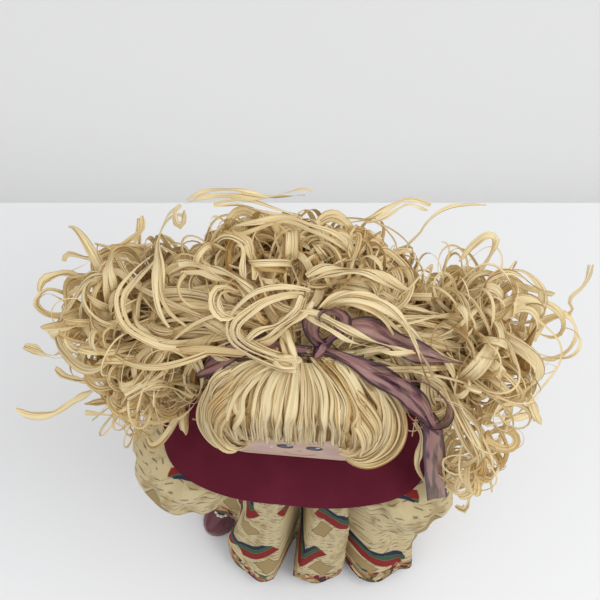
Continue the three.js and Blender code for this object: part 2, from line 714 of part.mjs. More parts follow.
// The bangs fan out from the gather over the brow and the temples.
// Angles are from straight ahead, positive towards the doll's left.
const BANGS_STRANDS = 30;
const BANGS_BACK = 100; // degrees from straight ahead to the last strand
const BANGS_FLAT_ANGLE = 26; // the bangs lie flat on the brow as far as this
const BANGS_CORNER_ANGLE = 50;
const BANGS_BROW = HEAD_DEPTH / 2 + BROW_FULLNESS;
const BANGS_CORNER = Math.hypot(HEAD_WIDTH, HEAD_DEPTH) / 2 + CORNER_FULLNESS;
const BANGS_TEMPLE = HEAD_WIDTH / 2 + TEMPLE_FULLNESS;
const BANGS_BROW_Z = HEAD_BOTTOM + BROW_HEIGHT;
const BANGS_TEMPLE_Z = HEAD_BOTTOM + TEMPLE_HEIGHT;
const BROW_SQUARENESS = 9; // how tightly the bangs bend over the front edge of the head
const CORNER_SQUARENESS = 4;

// Share of the way from the flat of the brow to its corner
function bangsCorner(angle) {
  const past = Math.abs(angle) - degrees(BANGS_FLAT_ANGLE);
  return smooth(past / degrees(BANGS_CORNER_ANGLE - BANGS_FLAT_ANGLE));
}

function bangsReach(angle) {
  const corner = degrees(BANGS_CORNER_ANGLE);
  const off = Math.abs(angle);
  if (off < corner) return lerp(BANGS_BROW / Math.cos(off), BANGS_CORNER, bangsCorner(angle));
  return lerp(BANGS_CORNER, BANGS_TEMPLE, smooth((off - corner) / (Math.PI / 2 - corner)));
}

// Height of the ends of the strands
function bangsEnd(angle) {
  return lerp(BANGS_BROW_Z, BANGS_TEMPLE_Z, bangsCorner(angle));
}

// A point of the bangs' skin: v is 0 at the gather and 1 at the ends
function bangsPoint(angle, v, growth = 0) {
  const squareness = lerp(BROW_SQUARENESS, CORNER_SQUARENESS, bangsCorner(angle));
  const sweep = (Math.PI / 2) * v;
  const reach = (bangsReach(angle) + growth) * Math.sin(sweep) ** (2 / squareness);
  const end = bangsEnd(angle) - growth;
  const z = end + (GATHER - 3 + growth - end) * Math.max(0, Math.cos(sweep)) ** (2 / squareness);
  return V(reach * Math.sin(angle), -reach * Math.cos(angle), z);
}

function bangsDome(growth = 0) {
  const around = 72;
  const rings = [];
  for (let i = 1; i <= 7; i++) {
    const v = i / 7;
    const ring = [];
    for (let k = 0; k < around; k++) {
      const angle = ((k + 0.5) / around - 0.5) * 2 * Math.PI;
      const groove = growth ? 0 : 1.3 * v * Math.abs(Math.sin((BANGS_STRANDS * angle) / 2));
      ring.push(bangsPoint(angle, v, growth - groove));
    }
    rings.push(ring);
  }
  return loft(rings);
}

// A rounded mass of raffia, lumpy where its locks lie
function tuft([x, y, z], [halfWidth, halfDepth, halfHeight], growth = 0) {
  const ball = new THREE.SphereGeometry(1, 14, 8);
  const points = ball.getAttribute("position");
  const p = V(0, 0, 0);
  for (let k = 0; k < points.count; k++) {
    p.fromBufferAttribute(points, k);
    const lump = 1 + 0.045 * Math.sin(5 * p.x + 4 * p.z + x) + 0.045 * Math.sin(6 * p.y - 5 * p.z + y);
    p.multiplyScalar(lump);
    points.setXYZ(k, p.x * (halfWidth + growth), p.y * (halfDepth + growth), p.z * (halfHeight + growth));
  }
  return ball.translate(x, y, z);
}

const CURL_STEPS = 8;

// A strand that leaves the skin of a tuft, curls round and goes back in.
// Azimuth and elevation say where it stands, and lean tips its plane along the skin.
function curl([x, y, z], [halfWidth, halfDepth, halfHeight], azimuth, elevation, radius, lean) {
  const [az, el] = [degrees(azimuth), degrees(elevation)];
  const out = V(Math.cos(el) * Math.cos(az), Math.cos(el) * Math.sin(az), Math.sin(el));
  const foot = V(halfWidth, halfDepth, halfHeight).multiply(out).multiplyScalar(0.94).add(V(x, y, z));
  const level = V(-Math.sin(az), Math.cos(az), 0);
  const rise = out.clone().cross(level);
  const axis = level.clone().applyAxisAngle(out, az + 2 * el);
  const stand = out.clone().applyAxisAngle(axis, degrees(lean));
  const across = axis.clone().cross(stand).lerp(rise, 0.1).normalize();
  const centre = foot.addScaledVector(stand, 0.8 * radius);
  const points = [];
  for (let k = 0; k <= CURL_STEPS; k++) {
    const a = degrees(-155 + (310 * k) / CURL_STEPS);
    const at = centre.clone().addScaledVector(stand, radius * Math.cos(a));
    at.addScaledVector(across, radius * Math.sin(a));
    points.push(at.addScaledVector(axis, (5 * a) / Math.PI));
  }
  const path = new THREE.CatmullRomCurve3(points);
  return strip(path, () => axis, STRAND_WIDTH, STRAND_THICKNESS, CURL_STEPS);
}

// A strand that hangs or sweeps through chosen points, its width turned to a direction
function strand(points, across) {
  const path = new THREE.CatmullRomCurve3(points.map((p) => V(...p)));
  return strip(path, () => V(...across), STRAND_WIDTH, STRAND_THICKNESS, 4 * points.length);
}

// Each mass of hair is a list of tufts. The curls that stand on a tuft are given as azimuth,
// elevation, radius and lean.
const SIDE_HAIR_X = HEAD_WIDTH / 2 + SIDE_HAIR_OUT;
const BACK_HAIR_Y = HEAD_DEPTH / 2 + BACK_HAIR_OUT;
const RIGHT_HAIR = [
  {
    centre: [1 - SIDE_HAIR_X, -2, HEAD_BOTTOM + 55],
    halves: [56, 36, 48],
    curls: [
      [188, 5, 20, 10],
      [215, -20, 18, 30],
      [240, 10, 17, 60],
      [205, 40, 17, 40],
    ],
  },
  {
    centre: [2 - SIDE_HAIR_X, 42, HEAD_BOTTOM + 58],
    halves: [58, 40, 50],
    curls: [
      [172, -15, 19, 15],
      [160, 25, 18, 20],
      [135, 0, 15, 50],
      [190, -55, 20, 0],
    ],
  },
];
const LEFT_HAIR = [
  {
    centre: [SIDE_HAIR_X + 2, -2, HEAD_BOTTOM + 55],
    halves: [54, 36, 48],
    curls: [
      [-8, 5, 20, 10],
      [-35, -22, 18, 30],
      [-25, 40, 17, 40],
    ],
  },
  {
    centre: [SIDE_HAIR_X + 2, 42, HEAD_BOTTOM + 58],
    halves: [56, 41, 50],
    curls: [
      [8, -15, 19, 15],
      [20, 25, 18, 20],
      [45, 0, 15, 50],
      [-10, -55, 20, 0],
    ],
  },
  {
    centre: [SIDE_HAIR_X + 20, -44, HEAD_BOTTOM + 18],
    halves: [19, 19, 40],
    curls: [[-30, -30, 15, 50]],
  },
];
const CROWN_HAIR = [
  {
    centre: [0, BACK_HAIR_Y - 3, HEAD_TOP + 6],
    halves: [78, 36, 24],
    curls: [
      [200, 30, 14, 50],
      [90, 40, 13, 70],
      [130, 45, 15, 60],
      [45, 45, 15, 60],
      [80, 75, 13, 65],
      [150, 70, 14, 60],
    ],
  },
];
const BACK_HAIR = [
  {
    centre: [0, BACK_HAIR_Y, HEAD_BOTTOM + 56],
    halves: [78, 33, 58],
    curls: [
      [60, 10, 15, 80],
      [110, -10, 15, 80],
      [80, -35, 16, 70],
      [120, 30, 14, 80],
      [95, -60, 17, 40],
    ],
  },
];

// Joins a mass of hair, and cuts it clear of the head and of the masses laid before it.
function makeHairMass(name, mass, extra, cutters) {
  const whole = join(
    ...mass.map(({ centre, halves }) => tuft(centre, halves)),
    ...mass.flatMap(({ centre, halves, curls }) => curls.map((shape) => curl(centre, halves, ...shape))),
    ...extra,
  );
  const clear = cutters.reduce((left, cutter) => left.subtract(asSolid(cutter)), whole);
  const bodies = clear.decompose().sort((a, b) => b.volume() - a.volume());
  piece(name, asGeometry(bodies[0]), raffia, hair);
}

function makeHair() {
  const grown = (mass) => mass.map(({ centre, halves }) => tuft(centre, halves, HAIR_GAP));
  const headCutter = headBlock(SEAT_GAP).translate(0, 0, HEAD_BOTTOM);
  const reach = 4 * HEAD_WIDTH;
  const behind = new THREE.BoxGeometry(reach, reach, reach);
  behind.translate(0, reach / 2 - BANGS_TEMPLE * Math.cos(degrees(BANGS_BACK)), HEAD_TOP);

  piece("hair_bangs", cut(bangsDome(), headCutter, behind), raffia, hair);

  const dome = bangsDome(HAIR_GAP);
  makeHairMass("hair_crown", CROWN_HAIR, [], [headCutter, dome]);
  const crown = grown(CROWN_HAIR);
  makeHairMass("hair_back", BACK_HAIR, [], [headCutter, dome, ...crown]);
  const laid = [headCutter, dome, ...crown, ...grown(BACK_HAIR)];
  const above = (points) => points.map(([x, y, height]) => [x, y, HEAD_BOTTOM + height]);
  const rightEnd = above([[-150, -30, 62], [-178, -46, 56], [-192, -58, 48], [-198, -48, 42]]);
  const leftEnd = above([[132, -58, 20], [136, -70, -12], [133, -74, -40], [126, -70, -58]]);
  makeHairMass("hair_right", RIGHT_HAIR, [strand(rightEnd, [0, 0, 1])], laid);
  makeHairMass("hair_left", LEFT_HAIR, [strand(leftEnd, [1, 0, 0])], laid);
}

// The ribbon and the raffia tie lie on the gather. Their routes are chosen points.
function makeTies() {
  const path = (points) => new THREE.CatmullRomCurve3(points.map(([x, y, z]) => V(x, y, z)));
  const turn = (from, to) => (t) => V(...from).lerp(V(...to), smooth(t));
  const sash = (points, from, to, steps) =>
    strip(path(points), turn(from, to), RIBBON_WIDTH, RIBBON_THICKNESS, steps);

  const knot = new THREE.SphereGeometry(1, 12, 8).scale(6, 9, 5.5);
  knot.translate(-6, -5, GATHER + 4.5);
  const twist = strip(
    path([[-4, -19, GATHER + 6], [-6, -8, GATHER + 8], [-7, 4, GATHER + 9], [-9, 12, GATHER + 14]]),
    turn([1, 0, 0], [0.2, 0, 1]),
    STRAND_WIDTH,
    STRAND_THICKNESS,
    8,
  );
  piece("raffia_tie", asGeometry(join(knot, twist)), raffia, hair);

  const bow = [
    [-11.7, -9, GATHER + 5],
    [-30, -14, GATHER + 6],
    [-46, -4, GATHER + 9],
    [-47, 12, GATHER + 15],
    [-34, 26, GATHER + 22],
    [-18, 20, GATHER + 24],
    [-14, 4, GATHER + 15],
  ];
  const bowStrand = strip(path(bow), () => V(0.3, -0.5, 1), STRAND_WIDTH, STRAND_THICKNESS, 22);
  piece("raffia_bow", bowStrand, raffia, hair);

  const tieKnot = new THREE.SphereGeometry(1, 12, 8).scale(8, 8, 5);
  piece("ribbon_knot", tieKnot.translate(12, -6, GATHER + 1.2), organza, hair);
  const lay = (angle, v) => bangsPoint(degrees(angle), v, RIBBON_REST).toArray();
  const start = [4.6, -6, GATHER - 1.6];
  const band = [start, [-12, -6, GATHER - 2], lay(-72, 0.1), lay(-77, 0.35), lay(-85, 0.55)];
  piece("ribbon_band", sash(band, [0, 1, 0], [-0.1, 1, 0.1], 12), organza, hair);
  const loop = [
    [12, 3.2, GATHER + 2.9],
    [4, 12, GATHER + 14],
    [6, 26, GATHER + 22],
    [20, 32, GATHER + 24],
    [28, 20, GATHER + 19],
    [21, 4, GATHER + 10],
  ];
  piece("ribbon_loop", sash(loop, [1, 0.2, 0.3], [1, -0.2, 0.3], 16), organza, hair);
  const shortTail = [
    [19.3, 1.6, GATHER + 2],
    [50, 5, GATHER + 1],
    [80, 3, GATHER - 3],
    [106, -4, GATHER - 8],
  ];
  piece("ribbon_tail_short", sash(shortTail, [0, 1, 0], [-0.1, 1, 0.3], 10), organza, hair);
  const longTail = [
    [18.8, -14.8, GATHER + 0.8],
    [36, -18, GATHER - 1],
    [58, -28, GATHER - 8],
    [78, -38, GATHER - 22],
    [93, -46, GATHER - 46],
    [101, -51, GATHER - 88],
    [106, -58, GATHER - 128],
    [111, -70, GATHER - 160],
  ];
  piece("ribbon_tail_long", sash(longTail, [0.3, 1, 0], [1, 0.3, 0], 26), organza, hair);
}

makeHeadAndTorso();
for (const [side, label] of [[-1, "right"], [1, "left"]]) {
  makeLegAndShoe(side, label);
  makeArm(side, label);
  makeSleeve(side, label);
}
makeBodice();
piece("skirt", clothTube(skirtPoint, 64, 7), print, dress);
piece("collar", clothTube(capePoint, 44, 4), burgundy, dress);
makeHair();
makeTies();

export default doll;
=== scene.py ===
"""A wooden doll with looped raffia hair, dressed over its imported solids.

Lengths in the classes are in millimetres and every mesh is made in metres. The doll
looks along -Y, so its left hand is on the +X side.
"""

from __future__ import annotations

import logging
import math
from collections.abc import Mapping, Sequence
from dataclasses import dataclass, field, replace
from enum import Enum
from functools import partial

import bmesh
import bpy
import numpy as np
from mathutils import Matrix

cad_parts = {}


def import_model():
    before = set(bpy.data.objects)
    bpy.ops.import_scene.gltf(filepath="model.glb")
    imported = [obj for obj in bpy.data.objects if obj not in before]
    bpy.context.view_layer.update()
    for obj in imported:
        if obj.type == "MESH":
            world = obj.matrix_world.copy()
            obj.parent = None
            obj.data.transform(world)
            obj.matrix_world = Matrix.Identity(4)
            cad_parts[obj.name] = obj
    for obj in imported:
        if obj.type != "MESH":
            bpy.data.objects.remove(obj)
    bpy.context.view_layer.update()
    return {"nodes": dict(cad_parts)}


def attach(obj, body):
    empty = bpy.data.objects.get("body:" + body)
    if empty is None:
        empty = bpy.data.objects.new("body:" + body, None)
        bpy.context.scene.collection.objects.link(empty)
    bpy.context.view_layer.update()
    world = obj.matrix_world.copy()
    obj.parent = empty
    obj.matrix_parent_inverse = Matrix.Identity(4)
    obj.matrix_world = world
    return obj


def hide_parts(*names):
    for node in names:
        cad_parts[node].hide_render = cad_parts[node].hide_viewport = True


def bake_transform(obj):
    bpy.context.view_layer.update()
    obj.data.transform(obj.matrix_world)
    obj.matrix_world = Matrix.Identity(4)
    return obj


MM = 0.001
LOG = logging.getLogger("doll")
Material = bpy.types.Material
Thing = bpy.types.Object
Random = np.random.Generator
Array = np.ndarray
Pair = tuple[float, float]
Point = tuple[float, float, float]
Colour = Point
Points = tuple[Point, ...]
Laid = tuple[tuple[float, Points], ...]
Faces = list[tuple[int, ...]]
TO_CAMERA = np.array([0.0, -0.37, 0.93])


def smooth(t: Array | float) -> Array | float:
    """Returns an eased share between 0 and 1."""
    t = np.clip(t, 0.0, 1.0)
    return t * t * (3 - 2 * t)


def lerp(a: Array | float, b: Array | float, t: Array | float) -> Array | float:
    """Returns the value at share t of the way from a to b."""
    return a + (b - a) * t


def unit(vectors: Array) -> Array:
    """Returns the vectors with a length of 1."""
    lengths = np.linalg.norm(vectors, axis=-1, keepdims=True)
    return vectors / np.maximum(lengths, 1e-9)


def turn(vectors: Array, axes: Array, angles: Array) -> Array:
    """Turns each vector about its own axis.

    Args:
        vectors: The vectors, one a row.
        axes: Their axes, of length 1.
        angles: Their angles in radians.

    Returns:
        The turned vectors.
    """
    c = np.cos(angles)[:, None]
    s = np.sin(angles)[:, None]
    along = np.sum(vectors * axes, axis=1, keepdims=True) * axes
    return vectors * c + np.cross(axes, vectors) * s + along * (1 - c)


def squared(across: Array, along: Array) -> Array:
    """Returns the widths of a strip turned square to the line that it follows."""
    return unit(across - np.sum(across * along, axis=1, keepdims=True) * along)


def distances(line: Array) -> Array:
    """Returns how far along the line each of its points lies."""
    return np.concatenate([[0], np.cumsum(np.linalg.norm(np.diff(line, axis=0), axis=1))])


def eased(line: Array, times: int) -> Array:
    """Smooths a line between its two ends.

    Args:
        line: The line, which is changed in place.
        times: How often it is smoothed.

    Returns:
        The line.
    """
    for _ in range(times):
        line[1:-1] = 0.25 * line[:-2] + 0.5 * line[1:-1] + 0.25 * line[2:]
    return line


def sway(rng: Random, share: Array, slow: float, fast: float) -> Array:
    """Returns a sine along a line, with a start and then a rate drawn by chance."""
    return np.sin(rng.uniform(0, 6.3) + share * rng.uniform(slow, fast))


def wander(rng: Random, share: Array, slow: float, fast: float) -> Array:
    """Returns a sine along a line, with a rate and then a start drawn by chance."""
    return np.sin(share * rng.uniform(slow, fast) + rng.uniform(0, 6))


def through(points: Sequence[Sequence[float]], step: float = 4.0) -> Array:
    """Runs a smooth line through chosen points.

    Args:
        points: The points, in millimetres.
        step: The spacing of the result.

    Returns:
        Points along the line at an even spacing.
    """
    p = np.array(points, float)
    p = np.vstack([2 * p[0] - p[1], p, 2 * p[-1] - p[-2]])
    t = np.linspace(0, 1, 13)[:-1, None]
    parts = []
    for a, b, c, d in zip(p, p[1:], p[2:], p[3:]):
        bent = (2 * a - 5 * b + 4 * c - d) * t**2 + (3 * b - a - 3 * c + d) * t**3
        parts.append(0.5 * (2 * b + (c - a) * t + bent))
    dense = np.vstack([*parts, p[-2:-1]])
    reach = distances(dense)
    count = max(4, int(reach[-1] / step) + 1)
    marks = np.linspace(0, reach[-1], count)
    return np.stack([np.interp(marks, reach, dense[:, k]) for k in range(3)], axis=1)


class Wire:
    """A shader output that takes part in arithmetic and adds its Math nodes."""

    def __init__(self, paint: Paint, socket: bpy.types.NodeSocket) -> None:
        """Keeps the node tree and the socket."""
        self.paint = paint
        self.socket = socket

    def _math(self, operation: str, first: Value, second: Value) -> Wire:
        """Adds one Math node on two values."""
        return self.paint.node("ShaderNodeMath", {"operation": operation}, {0: first, 1: second})

    def __add__(self, other: Value) -> Wire:
        """Returns the sum."""
        return self._math("ADD", self, other)

    def __sub__(self, other: Value) -> Wire:
        """Returns the difference."""
        return self._math("SUBTRACT", self, other)

    def __rsub__(self, other: Value) -> Wire:
        """Returns the difference from another value."""
        return self._math("SUBTRACT", other, self)

    def __mul__(self, other: Value) -> Wire:
        """Returns the product."""
        return self._math("MULTIPLY", self, other)

    def __truediv__(self, other: Value) -> Wire:
        """Returns the quotient."""
        return self._math("DIVIDE", self, other)

    def __rtruediv__(self, other: Value) -> Wire:
        """Returns the quotient of another value by this."""
        return self._math("DIVIDE", other, self)

    def __pow__(self, other: Value) -> Wire:
        """Returns the power."""
        return self._math("POWER", self, other)

    def __rpow__(self, other: Value) -> Wire:
        """Returns another value to the power of this."""
        return self._math("POWER", other, self)

    def __gt__(self, other: Value) -> Wire:
        """Returns 1 where this is greater."""
        return self._math("GREATER_THAN", self, other)

    def __lt__(self, other: Value) -> Wire:
        """Returns 1 where this is less."""
        return self._math("LESS_THAN", self, other)

    __radd__ = __add__
    __rmul__ = __mul__

    def __abs__(self) -> Wire:
        """Returns the size without the sign."""
        return self._math("ABSOLUTE", self, 0.0)

    def sine(self) -> Wire:
        """Returns the sine."""
        return self._math("SINE", self, 0.0)

    def wrap(self, period: float) -> Wire:
        """Returns the remainder after whole periods."""
        return self._math("FLOORED_MODULO", self, period)

    def ease(self, low: float, high: float) -> Wire:
        """Returns 0 below low and 1 above high, eased between them."""
        settings = {"interpolation_type": "SMOOTHSTEP"}
        return self.paint.node("ShaderNodeMapRange", settings, {0: self, 1: low, 2: high})


Value = Wire | float | tuple
Inputs = dict[str, Value]


class Paint:
    """The node tree of one material."""

    # The share of the light that comes through a thin sheet
    LET_THROUGH = 0.2

    def __init__(self, name: str) -> None:
        """Starts an empty material.

        Args:
            name: Its name.
        """
        self.material = bpy.data.materials.new(name)
        self.material.use_nodes = True
        self.tree = self.material.node_tree
        self.tree.nodes.clear()

    @staticmethod
    def _socket(sockets: bpy.types.bpy_prop_collection, key: str | int) -> bpy.types.NodeSocket:
        """Finds a socket by its place, its identifier or its name."""
        named = (s for s in sockets if key in (s.identifier, s.name))
        return sockets[key] if isinstance(key, int) else next(named)

    def node(
        self,
        kind: str,
        settings: Mapping[str, object],
        inputs: Mapping[str | int, Value],
        output: str | int = 0,
    ) -> Wire:
        """Adds one node.

        Args:
            kind: The node's type.
            settings: Its settings, set first. The key stops holds a ramp's stops.
            inputs: Values or wires for its input sockets.
            output: The output socket that is wanted.

        Returns:
            That output.
        """
        node = self.tree.nodes.new(kind)
        for key, value in settings.items():
            if key == "stops":
                ramp = node.color_ramp.elements
                while len(ramp) < len(value):
                    ramp.new(1.0)
                for element, (place, colour) in zip(ramp, value):
                    element.position = place
                    element.color = (*colour, 1.0)
            else:
                setattr(node, key, value)
        for key, value in inputs.items():
            socket = self._socket(node.inputs, key)
            if isinstance(value, Wire):
                self.tree.links.new(value.socket, socket)
            elif isinstance(value, tuple) and len(value) == 3 and socket.type == "RGBA":
                socket.default_value = (*value, 1.0)
            else:
                socket.default_value = value
        return Wire(self, self._socket(node.outputs, output))

    def mix(self, factor: Value, first: Value, second: Value) -> Wire:
        """Mixes two colours."""
        inputs = {"Factor_Float": factor, "A_Color": first, "B_Color": second}
        return self.node("ShaderNodeMix", {"data_type": "RGBA"}, inputs, "Result_Color")

    def noise(self, vector: Value, scale: float, detail: float = 3.0, seed: Value = 0.0) -> Wire:
        """Adds a noise from 0 to 1."""
        inputs = {"Vector": vector, "W": seed, "Scale": scale, "Detail": detail}
        return self.node("ShaderNodeTexNoise", {"noise_dimensions": "4D"}, inputs, "Fac")

    def place(self) -> Wire:
        """Returns the point of the surface in the object's own space."""
        return self.node("ShaderNodeTexCoord", {}, {}, "Object")

    def cut_place(self) -> Wire:
        """Returns the point of the flat cut, from the mesh's map."""
        return self.node("ShaderNodeUVMap", {"uv_map": "cut"}, {}, "UV")

    def carried(self, name: str) -> Wire:
        """Returns a number that the mesh carries."""
        return self.node("ShaderNodeAttribute", {"attribute_name": name}, {}, "Fac")

    def stretch(self, vector: Value, sizes: Point) -> Wire:
        """Scales a vector along its axes."""
        return self.node("ShaderNodeVectorMath", {"operation": "MULTIPLY"}, {0: vector, 1: sizes})

    def parts(self, vector: Value) -> tuple[Wire, ...]:
        """Splits a vector into its three numbers."""
        split = self.node("ShaderNodeSeparateXYZ", {}, {0: vector}).socket.node
        return tuple(Wire(self, output) for output in split.outputs)

    def ramp(self, factor: Value, stops: Sequence[tuple[float, Colour]]) -> Wire:
        """Turns a number into a colour."""
        return self.node("ShaderNodeValToRGB", {"stops": stops}, {0: factor}, "Color")

    def bump(self, height: Value, distance: float, strength: float = 1.0) -> Wire:
        """Turns a height into a normal."""
        inputs = {"Height": height, "Distance": distance, "Strength": strength}
        return self.node("ShaderNodeBump", {}, inputs, "Normal")

    def surface(self, inputs: Mapping[str, Value], through: Colour | None = None) -> Material:
        """Ends the tree in a surface.

        Args:
            inputs: The surface's inputs.
            through: The colour of the light that a thin sheet lets through, if it does.

        Returns:
            The material.
        """
        skin = self.node("ShaderNodeBsdfPrincipled", {}, inputs, "BSDF")
        if through:
            glow = self.node("ShaderNodeBsdfTranslucent", {}, {"Color": through}, "BSDF")
            skin = self.node("ShaderNodeMixShader", {}, {0: self.LET_THROUGH, 1: skin, 2: glow})
        end = self.tree.nodes.new("ShaderNodeOutputMaterial")
        self.tree.links.new(skin.socket, end.inputs["Surface"])
        return self.material


@dataclass(frozen=True)
class Finish:
    """A surface that is made of nodes."""

    name: str = "finish"
    through: Colour | None = None

    def inputs(self, paint: Paint) -> Inputs:
        """Returns what goes into the surface."""
        raise NotImplementedError

    def material(self) -> Material:
        """Makes the material."""
        paint = Paint(self.name)
        return paint.surface(self.inputs(paint), self.through)


class Grain(Enum):
    """The way that the wood's grain runs in the doll's frame."""

    ACROSS = (0.12, 1.0, 1.0)
    UPRIGHT = (1.0, 1.0, 0.12)


@dataclass(frozen=True)
class PineFinish(Finish):
    """Sanded pine: pale early wood, thin late lines and fine pores."""

    name: str = "sanded_pine"
    early: Colour = (0.66, 0.47, 0.30)
    late: Colour = (0.47, 0.28, 0.145)
    grain: Grain = Grain.UPRIGHT
    ring_scale: float = 95.0
    roughness: float = 0.5

    def ground(self, paint: Paint) -> tuple[Wire, Wire]:
        """Makes the wood's colour and its height.

        Args:
            paint: The material's nodes.

        Returns:
            The colour and the height.
        """
        place = paint.stretch(paint.place(), self.grain.value)
        warp = paint.noise(place, 14.0, 2.0)
        x, y, z = paint.parts(place)
        rings = ((x * 0.6 + y + z * 0.35) * self.ring_scale * 6.0 + warp * 14.0).sine() * 0.5 + 0.5
        pores = paint.noise(place, 900.0, 2.0)
        fleck = paint.noise(place, 120.0, 3.0)
        line = (rings**3.0) * 0.55 + fleck.ease(0.45, 0.7) * 0.25
        return paint.mix(line, self.early, self.late), pores * 0.5 + rings * 0.5

    def inputs(self, paint: Paint) -> Inputs:
        """Paints the grain, a little rougher in patches.

        Args:
            paint: The material's nodes.

        Returns:
            What goes into the surface.
        """
        colour, height = self.ground(paint)
        rough = paint.noise(paint.place(), 60.0) * 0.15 + (self.roughness - 0.07)
        normal = paint.bump(height, 0.00012)
        return {"Base Color": colour, "Roughness": rough, "Normal": normal}


@dataclass(frozen=True)
class FaceFinish(PineFinish):
    """The head's pine with its painted face: two oval eyes, rosy cheeks, a nose and a smile.

    Places are from the middle of the face's foot, across and up, in millimetres.
    """

    name: str = "painted_face"
    early: Colour = (0.60, 0.43, 0.335)
    late: Colour = (0.47, 0.31, 0.22)
    grain: Grain = Grain.ACROSS
    blush: Colour = (0.56, 0.33, 0.37)
    ink: Colour = (0.035, 0.035, 0.05)
    lip: Colour = (0.35, 0.08, 0.08)
    glint: Colour = (0.86, 0.83, 0.80)
    iris: Colour = (0.12, 0.14, 0.19)
    spark: Colour = (0.85, 0.85, 0.87)
    brow: Colour = (0.12, 0.06, 0.04)
    nose: Colour = (0.45, 0.16, 0.15)
    middle: float = 4.0
    foot: float = 330.0
    front: float = -43.0
    eye_at: Pair = (10.5, 33.0)
    eye_size: Pair = (6.4, 6.0)
    cheek_at: Pair = (25.0, 24.0)
    cheek_size: Pair = (11.0, 10.0)
    lash_size: Pair = (5.0, 2.6)
    brow_height: float = 43.5
    nose_at: Pair = (0.0, 23.0)
    nose_size: Pair = (2.2, 1.8)
    smile_at: Pair = (0.0, 24.0)
    smile_size: Pair = (15.0, 13.0)
    mouth_height: float = 16.0

    def _oval(self, x: Wire, z: Wire, at: Pair, size: Pair) -> Wire:
        """Measures how far a point lies from the middle of an oval.

        Args:
            x: The point's place across.
            z: Its height.
            at: The oval's middle.
            size: Half its width and half its height.

        Returns:
            The distance, which is 1 on the oval's rim.
        """
        across = (x - (self.middle + at[0]) * MM) / (size[0] * MM)
        up = (z - (self.foot + at[1]) * MM) / (size[1] * MM)
        return (across**2.0 + up**2.0) ** 0.5

    def inputs(self, paint: Paint) -> Inputs:
        """Paints the cheeks, then the eyes with their brows, the nose and the smile.

        Args:
            paint: The material's nodes.

        Returns:
            What goes into the surface.
        """
        colour, height = self.ground(paint)
        x, y, z = paint.parts(paint.place())
        wobble = paint.noise(paint.place(), 320.0, 2.0) * 0.16 - 0.08
        front = y < self.front * MM
        shine: Wire | float = 0.0

        def spot(side: int, base: Pair, shift: Pair, size: Pair, core: float = 0.8) -> Wire:
            """Returns 1 inside an oval that is mirrored with the face's side, and 0 outside it."""
            at = (side * base[0] + shift[0], base[1] + shift[1])
            return 1 - self._oval(x, z, at, size).ease(core, 1.0)

        for side in (-1, 1):
            cheek = spot(side, self.cheek_at, (0.0, 0.0), self.cheek_size, 0.25)
            colour = paint.mix(cheek * front * 0.8, colour, self.blush)
            glint = spot(side, self.cheek_at, (4.5, 3.5), (1.5, 1.0))
            colour = paint.mix(glint * front, colour, self.glint)
        for side in (-1, 1):
            eye = self._oval(x, z, (side * self.eye_at[0], self.eye_at[1]), self.eye_size) + wobble
            mask = (1 - eye.ease(0.93, 1.0)) * front
            colour = paint.mix(mask, colour, self.ink)
            inner = spot(side, self.eye_at, (-0.6, -1.6), (4.2, 3.4), 0.6)
            colour = paint.mix(inner * mask * 0.75, colour, self.iris)
            spark = spot(side, self.eye_at, (2.6, 1.9), (1.7, 1.3))
            colour = paint.mix(spark * front, colour, self.spark)
            shine = shine + mask
            lash_at = (side * (self.eye_at[0] + 1.0), self.brow_height)
            lash = self._oval(x, z, lash_at, self.lash_size)
            above = z > (self.foot + self.brow_height) * MM
            brow = (1 - abs(lash - 1.0).ease(0.1, 0.28)) * front * above
            colour = paint.mix(brow * 0.8, colour, self.brow)
        nose = spot(0, (0.0, 0.0), self.nose_at, self.nose_size)
        colour = paint.mix(nose * front * 0.8, colour, self.nose)
        smile = self._oval(x, z, self.smile_at, self.smile_size)
        below = z < (self.foot + self.mouth_height) * MM
        arc = (1 - abs(smile - 1.0).ease(0.04, 0.075)) * front * below
        colour = paint.mix(arc * 0.9, colour, self.lip)
        rough = self.roughness - shine * 0.22
        normal = paint.bump(height, 0.0001)
        return {"Base Color": colour, "Roughness": rough, "Normal": normal}


@dataclass(frozen=True)
class ShoeFinish(Finish):
    """Dark burgundy paint on wood, brushed on and semi-gloss."""

    name: str = "burgundy_shoe_paint"
    colour: Colour = (0.105, 0.012, 0.022)
    worn: Colour = (0.17, 0.03, 0.04)

    def inputs(self, paint: Paint) -> Inputs:
        """Paints brush strokes and worn patches.

        Args:
            paint: The material's nodes.

        Returns:
            What goes into the surface.
        """
        place = paint.place()
        strokes = paint.noise(paint.stretch(place, (1.0, 0.15, 1.0)), 420.0, 2.0)
        cloud = paint.noise(place, 45.0)
        colour = paint.mix(cloud.ease(0.5, 0.75) * 0.6, self.colour, self.worn)
        rough = strokes * 0.14 + 0.2
        normal = paint.bump(strokes, 0.00015)
        return {"Base Color": colour, "Roughness": rough, "Normal": normal}


@dataclass(frozen=True)
class TrimFinish(Finish):
    """Off-white beads, slightly pearly and a little grubby between."""

    name: str = "white_beads"
    colour: Colour = (0.74, 0.70, 0.64)
    dirt: Colour = (0.42, 0.36, 0.29)

    def inputs(self, paint: Paint) -> Inputs:
        """Paints the beads with grime between them.

        Args:
            paint: The material's nodes.

        Returns:
            What goes into the surface.
        """
        grime = paint.noise(paint.place(), 500.0)
        colour = paint.mix(grime.ease(0.5, 0.8) * 0.6, self.colour, self.dirt)
        normal = paint.bump(grime, 0.0001)
        return {"Base Color": colour, "Roughness": 0.4, "Normal": normal}


